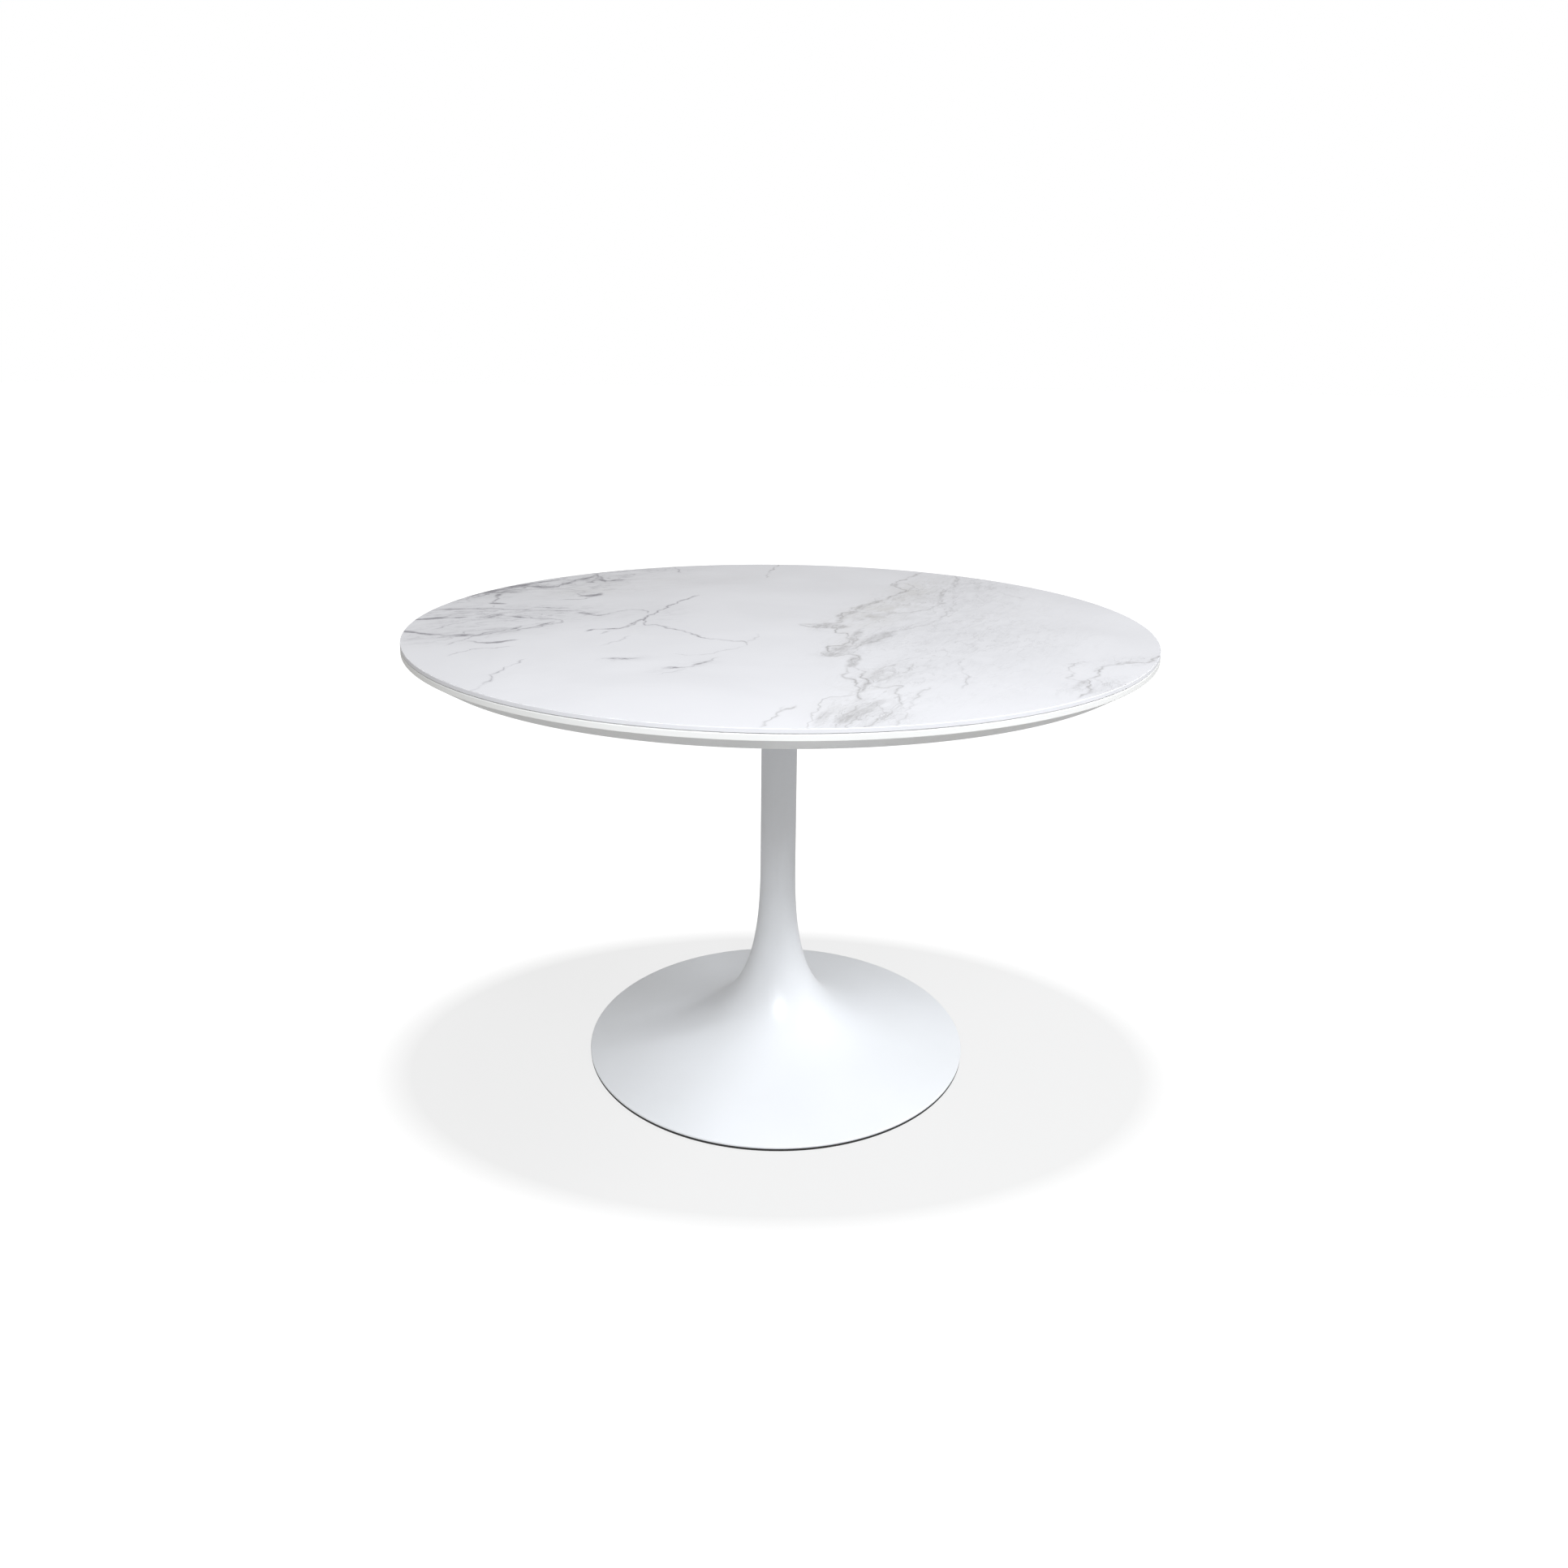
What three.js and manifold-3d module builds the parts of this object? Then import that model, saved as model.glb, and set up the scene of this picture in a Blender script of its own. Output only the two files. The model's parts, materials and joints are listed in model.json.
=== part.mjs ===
// Round pedestal table: a thin stone slab bonded to a bevelled board, on a column that
// flares into a trumpet foot. A tie rod clamps the top to a ballast weight inside the foot.
// Units are millimetres, +Z is up, and the origin is on the floor, on the column's axis.
import * as THREE from "three";
import { mergeVertices } from "three/addons/utils/BufferGeometryUtils.js";
import Module from "manifold-3d";

const wasm = await Module();
wasm.setup();

// ---------------------------------------------------------------- driving dimensions

const TABLE_HEIGHT = 750;
const TOP_RADIUS = 600;
const FOOT_RADIUS = 324;
const COLUMN_RADIUS = 30;

// The stack, from the top down. Quarters of a millimetre are exact in 32-bit numbers, so
// pieces that touch share exactly the same plane.
const SLAB_THICKNESS = 6;
const ADHESIVE_THICKNESS = 0.75;
const BOARD_THICKNESS = 28;
const PLATE_THICKNESS = 5;
const HUB_FLANGE_THICKNESS = 8;

const SLAB_BOTTOM = TABLE_HEIGHT - SLAB_THICKNESS;
const BOARD_TOP = SLAB_BOTTOM - ADHESIVE_THICKNESS;
const BOARD_BOTTOM = BOARD_TOP - BOARD_THICKNESS;
const PLATE_BOTTOM = BOARD_BOTTOM - PLATE_THICKNESS;
const COLUMN_TOP = PLATE_BOTTOM - HUB_FLANGE_THICKNESS;

// The edge of the top: an upright band, and a bevel below it that makes the top look thin.
const ARRIS = 1;
const ADHESIVE_SETBACK = 4;
const BAND_HEIGHT = 8.5;
const BEVEL_WIDTH = 31;

// The trumpet foot's outside is one Bezier curve, from the rim up to the column. The pulls
// say how far its tangents reach, and the seam is the place along it where skirt meets neck.
const WALL = 3;
const NECK_HEIGHT = 322;
const NECK_PULL = 277;
const SKIRT_PULL = 211;
const SKIRT_RISE = 37;
const FOOT_SEAM = 0.5;
const RIM_HEIGHT = 7;
const RIM_BOTTOM = 3.5;
const RIM_LIP_WIDTH = 12;
const RIM_ARRIS = 1;
const SLEEVE_LENGTH = 60;

// The ring that the foot stands on shows as a thin dark line under the rim.
const RING_SETBACK = 0.5;
const RING_WIDTH = 20;

// The floor plate and the ballast that stands on it.
const FLOOR_PLATE_THICKNESS = 3;
const FLOOR_PLATE_TOP = RIM_BOTTOM + FLOOR_PLATE_THICKNESS;
const FLOOR_PLATE_RADIUS = FOOT_RADIUS - RIM_LIP_WIDTH - 1;
const BALLAST_RADIUS = 240;
const BALLAST_EDGE_TOP = 17.5;
const BALLAST_SHOULDER_RADIUS = 168;
const BALLAST_SHOULDER = 32.5;
const BALLAST_CROWN_RADIUS = 130;
const BALLAST_TOP = 46;
const RECESS_RADIUS = 33;
const RECESS_TOP = 26;

// Plates, hub and threaded pieces: an M16 tie rod, and M6 screws and inserts.
const MOUNTING_PLATE_RADIUS = 200;
const HUB_FLANGE_RADIUS = 48;
const SPIGOT_LENGTH = 34;
const ROD_RADIUS = 8;
const WASHER_RADIUS = 22;
const WASHER_THICKNESS = 4;
const NUT_RADIUS = 13.85;
const NUT_HEIGHT = 13;
const ROD_PAST_NUT = 1.5;
const M6_RADIUS = 3;
const INSERT_RADIUS = 5;
const INSERT_LENGTH = 13;
const PLATE_SCREW_LENGTH = 16;
const BUTTON_RADIUS = 6;
const BUTTON_HEIGHT = 3.5;
const SUNK_HEAD_RADIUS = 6;
const SUNK_HEAD_DEPTH = 2.5;
const HEAD_SINK = 0.25;
const HUB_SCREW_LENGTH = 11;
const BASE_SCREW_LENGTH = 15;
const SCREW_TIP_ROOM = 1;

// Circles that the screws stand on.
const INSERT_CIRCLE = 170;
const HUB_SCREW_CIRCLE = 36;
const BASE_SCREW_CIRCLE = 200;

// Radial room between a piece and its hole, and between a thread and its tapped hole.
const SLIP_GAP = 0.3;
const THREAD_GAP = 0.15;

// How far a cutter sticks out of the face that it enters.
const OVERCUT = 1;

// Facets round a full turn.
const TOP_SIDES = 72;
const FOOT_SIDES = 48;
const COLUMN_SIDES = 32;
const SMALL_RING_SIDES = 24;
const SCREW_SIDES = 12;

const standard = (color, roughness, metalness) =>
  new THREE.MeshStandardMaterial({ color, roughness, metalness });

const MATERIALS = {
  stone: standard(0xe9eaee, 0.3, 0),
  adhesive: standard(0x8b8c8e, 0.7, 0),
  lacquer: standard(0xf3f3f2, 0.35, 0),
  powderCoat: standard(0xf0f1f4, 0.3, 0),
  zinc: standard(0xb9bcbf, 0.4, 1),
  castIron: standard(0x3b3d40, 0.7, 1),
  blackCoat: standard(0x26272a, 0.55, 0),
  rubber: standard(0x18191b, 0.8, 0),
  plastic: standard(0x1f2022, 0.5, 0),
};

// ---------------------------------------------------------------- geometry helpers

// A closed outline of [radius, height] points, turned about the Z axis. It runs
// anticlockwise, with the axis on its left, so that the faces point out.
function turned(outline, sides) {
  const points = outline.map(([radius, height]) => new THREE.Vector2(radius, height));
  return new THREE.LatheGeometry(points, sides).rotateX(Math.PI / 2);
}

// A ring of rectangular section.
function ring(inner, outer, bottom, top, sides) {
  const section = [
    [inner, bottom],
    [outer, bottom],
    [outer, top],
    [inner, top],
    [inner, bottom],
  ];
  return turned(section, sides);
}

// A cone frustum that stands on the Z axis.
function frustum(bottomRadius, topRadius, bottom, top, sides) {
  return new THREE.CylinderGeometry(topRadius, bottomRadius, top - bottom, sides)
    .rotateX(Math.PI / 2)
    .translate(0, 0, (top + bottom) / 2);
}

const post = (radius, bottom, top, sides) => frustum(radius, radius, bottom, top, sides);

function solidOf(geometry) {
  const bare = geometry.clone();
  bare.deleteAttribute("normal");
  bare.deleteAttribute("uv");
  const merged = mergeVertices(bare, 1e-4);
  const vertProperties = merged.attributes.position.array;
  const triVerts = new Uint32Array(merged.index.array);
  return new wasm.Manifold(new wasm.Mesh({ numProp: 3, vertProperties, triVerts }));
}

function geometryOf(solid) {
  const mesh = solid.getMesh();
  const geometry = new THREE.BufferGeometry();
  geometry.setAttribute("position", new THREE.BufferAttribute(mesh.vertProperties, 3));
  geometry.setIndex(new THREE.BufferAttribute(mesh.triVerts, 1));
  geometry.computeVertexNormals();
  return geometry;
}

function cut(geometry, cutters) {
  const whole = solidOf(geometry);
  return geometryOf(cutters.reduce((left, cutter) => left.subtract(solidOf(cutter)), whole));
}

// Evenly spaced places on a circle, the first one at `firstTurn` of a full turn.
function placesOnCircle(radius, count, firstTurn) {
  return Array.from({ length: count }, (_, i) => {
    const angle = (firstTurn + i / count) * 2 * Math.PI;
    return new THREE.Vector2(radius * Math.cos(angle), radius * Math.sin(angle));
  });
}

const INSERT_PLACES = placesOnCircle(INSERT_CIRCLE, 8, 1 / 16);
const HUB_SCREW_PLACES = placesOnCircle(HUB_SCREW_CIRCLE, 4, 0);
const BASE_SCREW_PLACES = placesOnCircle(BASE_SCREW_CIRCLE, 6, 0);

const copiesAt = (places, cutter) =>
  places.map((place) => cutter.clone().translate(place.x, place.y, 0));

const table = new THREE.Group();

function add(name, geometry, material, place = new THREE.Vector2()) {
  const mesh = new THREE.Mesh(geometry, material);
  mesh.name = name;
  mesh.position.set(place.x, place.y, 0);
  table.add(mesh);
}

function addEach(name, places, geometry, material) {
  places.forEach((place, i) => add(`${name}_${i + 1}`, geometry, material, place));
}

// ---------------------------------------------------------------- countersunk screws

// Depths are measured from `face`: `inward` is 1 where a screw goes up, -1 where it goes down.
const SUNK_SLOPE = (SUNK_HEAD_RADIUS - M6_RADIUS) / SUNK_HEAD_DEPTH;

function sunkScrew(face, inward, length) {
  const depthOutline = [
    [0, 0],
    [SUNK_HEAD_RADIUS, 0],
    [M6_RADIUS, SUNK_HEAD_DEPTH],
    [M6_RADIUS, length],
    [0, length],
  ];
  const head = face + inward * HEAD_SINK;
  const outline = depthOutline.map(([radius, depth]) => [radius, head + inward * depth]);
  const screw = turned(inward > 0 ? outline : outline.reverse(), SCREW_SIDES);
  const [low, high] = [head - inward, head + inward * 2].sort((a, b) => a - b);
  return cut(screw, [post(2, low, high, 6)]);
}

// The countersink and the clearance hole of a screw with its head in this face.
function sunkHole(face, inward, length) {
  const radius = M6_RADIUS + SLIP_GAP;
  const coneDepth = SUNK_HEAD_DEPTH + HEAD_SINK;
  const mouthRadius = radius + SUNK_SLOPE * (coneDepth + OVERCUT);
  const depthOutline = [
    [0, -OVERCUT],
    [mouthRadius, -OVERCUT],
    [radius, coneDepth],
    [radius, length],
    [0, length],
  ];
  const outline = depthOutline.map(([r, depth]) => [r, face + inward * depth]);
  return turned(inward > 0 ? outline : outline.reverse(), SCREW_SIDES);
}

// ---------------------------------------------------------------- the top

function stoneSlab() {
  const outline = [
    [0, SLAB_BOTTOM],
    [TOP_RADIUS - ARRIS / 2, SLAB_BOTTOM],
    [TOP_RADIUS, SLAB_BOTTOM + ARRIS / 2],
    [TOP_RADIUS, TABLE_HEIGHT - ARRIS],
    [TOP_RADIUS - ARRIS, TABLE_HEIGHT],
    [0, TABLE_HEIGHT],
  ];
  return turned(outline, TOP_SIDES);
}

// Blind holes in the board's underside take the threaded inserts.
function backingBoard() {
  const outline = [
    [0, BOARD_BOTTOM],
    [TOP_RADIUS - BEVEL_WIDTH, BOARD_BOTTOM],
    [TOP_RADIUS, BOARD_TOP - BAND_HEIGHT],
    [TOP_RADIUS, BOARD_TOP - ARRIS],
    [TOP_RADIUS - ARRIS, BOARD_TOP],
    [0, BOARD_TOP],
  ];
  const holeTop = BOARD_BOTTOM + INSERT_LENGTH + SCREW_TIP_ROOM;
  const hole = post(INSERT_RADIUS + SLIP_GAP, BOARD_BOTTOM - OVERCUT, holeTop, SCREW_SIDES);
  return cut(turned(outline, TOP_SIDES), copiesAt(INSERT_PLACES, hole));
}

function boardInsert() {
  const bore = M6_RADIUS + THREAD_GAP;
  return ring(bore, INSERT_RADIUS, BOARD_BOTTOM, BOARD_BOTTOM + INSERT_LENGTH, SCREW_SIDES);
}

const adhesiveLayer = post(TOP_RADIUS - ADHESIVE_SETBACK, BOARD_TOP, SLAB_BOTTOM, TOP_SIDES);

add("stone_slab", stoneSlab(), MATERIALS.stone);
add("adhesive_layer", adhesiveLayer, MATERIALS.adhesive);
add("backing_board", backingBoard(), MATERIALS.lacquer);
addEach("board_insert", INSERT_PLACES, boardInsert(), MATERIALS.zinc);

// ---------------------------------------------------------------- mounting plate and hub

function mountingPlate() {
  const outline = [
    [0, PLATE_BOTTOM],
    [MOUNTING_PLATE_RADIUS - ARRIS, PLATE_BOTTOM],
    [MOUNTING_PLATE_RADIUS, PLATE_BOTTOM + ARRIS],
    [MOUNTING_PLATE_RADIUS, BOARD_BOTTOM],
    [0, BOARD_BOTTOM],
  ];
  const radius = M6_RADIUS + SLIP_GAP;
  const hole = post(radius, PLATE_BOTTOM - OVERCUT, BOARD_BOTTOM + OVERCUT, SCREW_SIDES);
  const sunk = sunkHole(BOARD_BOTTOM, -1, PLATE_THICKNESS + OVERCUT);
  return cut(turned(outline, FOOT_SIDES), [
    ...copiesAt(INSERT_PLACES, hole),
    ...copiesAt(HUB_SCREW_PLACES, sunk),
  ]);
}

// A button-head screw: a low dome under the plate, with a hexagon socket.
function plateScrew() {
  const face = PLATE_BOTTOM - BUTTON_HEIGHT;
  const tip = PLATE_BOTTOM + PLATE_SCREW_LENGTH;
  const outline = [
    [0, face],
    [BUTTON_RADIUS * 0.55, face],
    [BUTTON_RADIUS * 0.87, PLATE_BOTTOM - BUTTON_HEIGHT * 0.6],
    [BUTTON_RADIUS, PLATE_BOTTOM],
    [M6_RADIUS, PLATE_BOTTOM],
    [M6_RADIUS, tip],
    [0, tip],
  ];
  return cut(turned(outline, SCREW_SIDES), [post(2.3, face - OVERCUT, face + 2, 6)]);
}

// The hub's flange is screwed to the mounting plate. Its spigot centres the column, and the
// tie rod screws up into its blind bore.
function columnHub() {
  const spigot = COLUMN_RADIUS - WALL - SLIP_GAP;
  const spigotBottom = COLUMN_TOP - SPIGOT_LENGTH;
  const bore = ROD_RADIUS + THREAD_GAP;
  const boreTop = COLUMN_TOP + SCREW_TIP_ROOM;
  const outline = [
    [0, boreTop],
    [bore, boreTop],
    [bore, spigotBottom],
    [spigot - ARRIS, spigotBottom],
    [spigot, spigotBottom + ARRIS],
    [spigot, COLUMN_TOP],
    [HUB_FLANGE_RADIUS - ARRIS, COLUMN_TOP],
    [HUB_FLANGE_RADIUS, COLUMN_TOP + ARRIS],
    [HUB_FLANGE_RADIUS, PLATE_BOTTOM],
    [0, PLATE_BOTTOM],
  ];
  const tip = BOARD_BOTTOM - HEAD_SINK - HUB_SCREW_LENGTH;
  const tapped = M6_RADIUS + THREAD_GAP;
  const hole = post(tapped, tip - 0.5, PLATE_BOTTOM + OVERCUT, SCREW_SIDES);
  return cut(turned(outline, COLUMN_SIDES), copiesAt(HUB_SCREW_PLACES, hole));
}

const hubScrew = sunkScrew(BOARD_BOTTOM, -1, HUB_SCREW_LENGTH);

add("mounting_plate", mountingPlate(), MATERIALS.powderCoat);
addEach("plate_screw", INSERT_PLACES, plateScrew(), MATERIALS.zinc);
add("column_hub", columnHub(), MATERIALS.powderCoat);
addEach("hub_screw", HUB_SCREW_PLACES, hubScrew, MATERIALS.zinc);

// ---------------------------------------------------------------- column and trumpet foot

const columnTube = ring(
  COLUMN_RADIUS - WALL,
  COLUMN_RADIUS,
  NECK_HEIGHT,
  COLUMN_TOP,
  COLUMN_SIDES,
);

const footCurve = new THREE.CubicBezierCurve(
  new THREE.Vector2(FOOT_RADIUS, RIM_HEIGHT),
  new THREE.Vector2(FOOT_RADIUS - SKIRT_PULL, RIM_HEIGHT + SKIRT_RISE),
  new THREE.Vector2(COLUMN_RADIUS, NECK_HEIGHT - NECK_PULL),
  new THREE.Vector2(COLUMN_RADIUS, NECK_HEIGHT),
);

// A point of the curve, moved by `depth` square to the surface, into the metal.
function footPoint(t, depth) {
  const point = footCurve.getPoint(t);
  const tangent = footCurve.getTangent(t);
  return [point.x - tangent.y * depth, point.y + tangent.x * depth];
}

// Both sides of the foot's wall from one place on the curve to another: the outside going up,
// then the inside coming down.
function wallOutline(from, to, steps) {
  const at = (i) => from + ((to - from) * i) / steps;
  const outside = Array.from({ length: steps + 1 }, (_, i) => footPoint(at(i), 0));
  const inside = Array.from({ length: steps + 1 }, (_, i) => footPoint(at(steps - i), WALL));
  return [...outside, ...inside];
}

// The skirt is a pressed dish. A flat lip inside its rim meets the floor plate.
function footSkirt() {
  const lipRadius = FOOT_RADIUS - RIM_LIP_WIDTH;
  const wall = wallOutline(0, FOOT_SEAM, 7).slice(0, -1);
  const outline = [
    [lipRadius, RIM_BOTTOM],
    [FOOT_RADIUS - RIM_ARRIS, RIM_BOTTOM],
    [FOOT_RADIUS, RIM_BOTTOM + RIM_ARRIS],
    ...wall,
    [lipRadius, FLOOR_PLATE_TOP + SLIP_GAP],
    [lipRadius, RIM_BOTTOM],
  ];
  return turned(outline, FOOT_SIDES);
}

// The neck is spun, welded to the skirt and the column, and ground flush.
function footNeck() {
  const wall = wallOutline(FOOT_SEAM, 1, 8);
  return turned([...wall, wall[0]], FOOT_SIDES);
}

const sleeveRadius = COLUMN_RADIUS - WALL - SLIP_GAP;
const jointSleeve = ring(
  sleeveRadius - WALL,
  sleeveRadius,
  NECK_HEIGHT - SLEEVE_LENGTH / 2,
  NECK_HEIGHT + SLEEVE_LENGTH / 2,
  COLUMN_SIDES,
);

add("column_tube", columnTube, MATERIALS.powderCoat);
add("foot_neck", footNeck(), MATERIALS.powderCoat);
add("foot_skirt", footSkirt(), MATERIALS.powderCoat);
add("joint_sleeve", jointSleeve, MATERIALS.zinc);

// ---------------------------------------------------------------- ballast and tie rod

const NUT_TOP = RECESS_TOP - WASHER_THICKNESS;
const NUT_BOTTOM = NUT_TOP - NUT_HEIGHT;

// The ballast fills the space under the foot's slope. The recess in its underside holds the
// tie rod's washer and nut.
function ballastWeight() {
  const bore = ROD_RADIUS + 1;
  const outline = [
    [bore, RECESS_TOP],
    [RECESS_RADIUS, RECESS_TOP],
    [RECESS_RADIUS, FLOOR_PLATE_TOP],
    [BALLAST_RADIUS, FLOOR_PLATE_TOP],
    [BALLAST_RADIUS, BALLAST_EDGE_TOP],
    [BALLAST_SHOULDER_RADIUS, BALLAST_SHOULDER],
    [BALLAST_CROWN_RADIUS, BALLAST_TOP],
    [bore, BALLAST_TOP],
    [bore, RECESS_TOP],
  ];
  const tip = RIM_BOTTOM + HEAD_SINK + BASE_SCREW_LENGTH + SCREW_TIP_ROOM;
  const hole = post(M6_RADIUS + THREAD_GAP, FLOOR_PLATE_TOP - OVERCUT, tip, SCREW_SIDES);
  return cut(turned(outline, FOOT_SIDES), copiesAt(BASE_SCREW_PLACES, hole));
}

function rodNut() {
  const bore = post(
    ROD_RADIUS + THREAD_GAP,
    NUT_BOTTOM - OVERCUT,
    NUT_TOP + OVERCUT,
    SMALL_RING_SIDES,
  );
  return cut(post(NUT_RADIUS, NUT_BOTTOM, NUT_TOP, 6), [bore]);
}

const tieRod = post(ROD_RADIUS, NUT_BOTTOM - ROD_PAST_NUT, COLUMN_TOP, SMALL_RING_SIDES);
const rodWasher = ring(ROD_RADIUS + 0.5, WASHER_RADIUS, NUT_TOP, RECESS_TOP, SMALL_RING_SIDES);

add("ballast_weight", ballastWeight(), MATERIALS.castIron);
add("tie_rod", tieRod, MATERIALS.zinc);
add("rod_washer", rodWasher, MATERIALS.zinc);
add("rod_nut", rodNut(), MATERIALS.zinc);

// ---------------------------------------------------------------- floor plate and ring

function floorPlate() {
  const low = RIM_BOTTOM - OVERCUT;
  const high = FLOOR_PLATE_TOP + OVERCUT;
  const plate = post(FLOOR_PLATE_RADIUS, RIM_BOTTOM, FLOOR_PLATE_TOP, FOOT_SIDES);
  return cut(plate, [
    post(RECESS_RADIUS, low, high, SMALL_RING_SIDES),
    ...copiesAt(BASE_SCREW_PLACES, sunkHole(RIM_BOTTOM, 1, FLOOR_PLATE_THICKNESS + OVERCUT)),
  ]);
}

// A plastic cap that snaps into the plate's opening and covers the nut.
function nutCover() {
  const radius = RECESS_RADIUS - SLIP_GAP;
  const skin = 1.25;
  const skirt = 1.75;
  const outline = [
    [0, RIM_BOTTOM],
    [radius - ARRIS / 2, RIM_BOTTOM],
    [radius, RIM_BOTTOM + ARRIS / 2],
    [radius, FLOOR_PLATE_TOP],
    [radius - skirt, FLOOR_PLATE_TOP],
    [radius - skirt, RIM_BOTTOM + skin],
    [0, RIM_BOTTOM + skin],
  ];
  return turned(outline, SMALL_RING_SIDES);
}

const ringOuter = FOOT_RADIUS - RING_SETBACK;
const floorRing = ring(ringOuter - RING_WIDTH, ringOuter, 0, RIM_BOTTOM, FOOT_SIDES);
const baseScrew = sunkScrew(RIM_BOTTOM, 1, BASE_SCREW_LENGTH);

add("floor_plate", floorPlate(), MATERIALS.blackCoat);
addEach("base_screw", BASE_SCREW_PLACES, baseScrew, MATERIALS.zinc);
add("nut_cover", nutCover(), MATERIALS.plastic);
add("floor_ring", floorRing, MATERIALS.rubber);

export default table;
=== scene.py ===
"""Round pedestal table: a marble-pattern stone top on a white column and trumpet foot.

Everything is in metres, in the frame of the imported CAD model: +Z up, the floor at zero and
the column on the Z axis. Outer sizes come from the CAD nodes' boxes.
"""
import json
import math
import random

import bmesh
import bpy
import numpy as np
from mathutils import Matrix, Vector, kdtree


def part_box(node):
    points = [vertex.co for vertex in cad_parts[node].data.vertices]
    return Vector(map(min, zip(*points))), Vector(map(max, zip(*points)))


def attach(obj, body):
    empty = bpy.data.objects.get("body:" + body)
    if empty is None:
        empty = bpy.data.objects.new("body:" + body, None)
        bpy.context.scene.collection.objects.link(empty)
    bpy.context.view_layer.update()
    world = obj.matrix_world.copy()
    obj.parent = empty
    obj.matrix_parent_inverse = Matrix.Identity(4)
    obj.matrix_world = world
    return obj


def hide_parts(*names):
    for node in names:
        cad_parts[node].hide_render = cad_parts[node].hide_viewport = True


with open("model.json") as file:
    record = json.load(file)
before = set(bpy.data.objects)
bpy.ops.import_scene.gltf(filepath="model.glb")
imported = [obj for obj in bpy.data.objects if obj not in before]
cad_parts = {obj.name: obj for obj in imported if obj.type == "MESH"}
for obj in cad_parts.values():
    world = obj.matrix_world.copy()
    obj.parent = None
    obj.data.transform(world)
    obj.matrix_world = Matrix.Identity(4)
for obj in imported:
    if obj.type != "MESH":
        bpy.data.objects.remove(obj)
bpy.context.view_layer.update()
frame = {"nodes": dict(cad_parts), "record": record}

MM = 0.001
TURN = 2 * math.pi

# ---------------- sizes from the frame

SLOTS = {part["node"]: part["material_slot"] for part in frame["record"]["subparts"]}

slab_low, slab_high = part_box("stone_slab")
glue_low, glue_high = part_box("adhesive_layer")
board_low, board_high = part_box("backing_board")
plate_low, plate_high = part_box("mounting_plate")
hub_low, hub_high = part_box("column_hub")
tube_low, tube_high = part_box("column_tube")
neck_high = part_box("foot_neck")[1]
skirt_low, skirt_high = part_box("foot_skirt")
sleeve_low, sleeve_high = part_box("joint_sleeve")
ring_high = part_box("floor_ring")[1]
floor_plate_low, floor_plate_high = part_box("floor_plate")
cover_low, cover_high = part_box("nut_cover")
ballast_low, ballast_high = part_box("ballast_weight")
insert_low, insert_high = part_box("board_insert_1")
screw_low, screw_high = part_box("plate_screw_1")
hub_screw_low, hub_screw_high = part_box("hub_screw_1")
base_screw_low, base_screw_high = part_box("base_screw_1")
rod_low, rod_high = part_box("tie_rod")
washer_low, washer_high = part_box("rod_washer")
nut_low, nut_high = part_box("rod_nut")

TOP_RADIUS = slab_high.x
TABLE_HEIGHT = slab_high.z
COLUMN_RADIUS = tube_high.x
FOOT_RADIUS = skirt_high.x

# Sizes that the boxes don't show.
SLIP_GAP = 0.3 * MM
WALL = 3 * MM
THREAD_GAP = 0.15 * MM
M6_RADIUS = 3 * MM
INSERT_RADIUS = 5 * MM
ROD_RADIUS = 8 * MM
RECESS_RADIUS = 33 * MM
SCREW_HEAD_RADIUS = 6 * MM
SUNK_HEAD_DEPTH = 2.5 * MM
SOCKET_FLATS = 4 * MM

INSERT_CIRCLE = 170 * MM
HUB_SCREW_CIRCLE = 36 * MM
BASE_SCREW_CIRCLE = 200 * MM


# ---------------- mesh helpers

def new_object(name, verts, faces):
    mesh = bpy.data.meshes.new(name)
    mesh.from_pydata(verts, [], faces)
    mesh.validate()
    obj = bpy.data.objects.new(name, mesh)
    bpy.context.scene.collection.objects.link(obj)
    return obj


def face_outwards(obj):
    bm = bmesh.new()
    bm.from_mesh(obj.data)
    bmesh.ops.recalc_face_normals(bm, faces=bm.faces)
    bm.to_mesh(obj.data)
    bm.free()


def apply_modifiers(obj):
    graph = bpy.context.evaluated_depsgraph_get()
    mesh = bpy.data.meshes.new_from_object(obj.evaluated_get(graph))
    obj.modifiers.clear()
    old = obj.data
    obj.data = mesh
    bpy.data.meshes.remove(old)
    mesh.name = obj.name


def shade(obj, sharp_degrees=32):
    """Smooth shading that keeps corners crisp and flat faces flat."""
    mesh = obj.data
    mesh.polygons.foreach_set("use_smooth", [True] * len(mesh.polygons))
    mesh.set_sharp_from_angle(angle=math.radians(sharp_degrees))
    weighted = obj.modifiers.new("flat_faces", "WEIGHTED_NORMAL")
    weighted.keep_sharp = True
    apply_modifiers(obj)


def rounded(corners, steps=5):
    """An outline of (radius, height) points from (radius, height, fillet) corners."""
    outline = []
    count = len(corners)
    for i, (r, z, fillet) in enumerate(corners):
        here = Vector((r, z))
        if fillet == 0:
            outline.append((r, z))
            continue
        before = (Vector(corners[i - 1][:2]) - here).normalized()
        after = (Vector(corners[(i + 1) % count][:2]) - here).normalized()
        half = before.angle(after) / 2
        centre = here + (before + after).normalized() * (fillet / math.sin(half))
        first = here + before * (fillet / math.tan(half)) - centre
        last = here + after * (fillet / math.tan(half)) - centre
        for k in range(steps + 1):
            outline.append(tuple(centre + first.slerp(last, k / steps) * fillet))
    return outline


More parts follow.
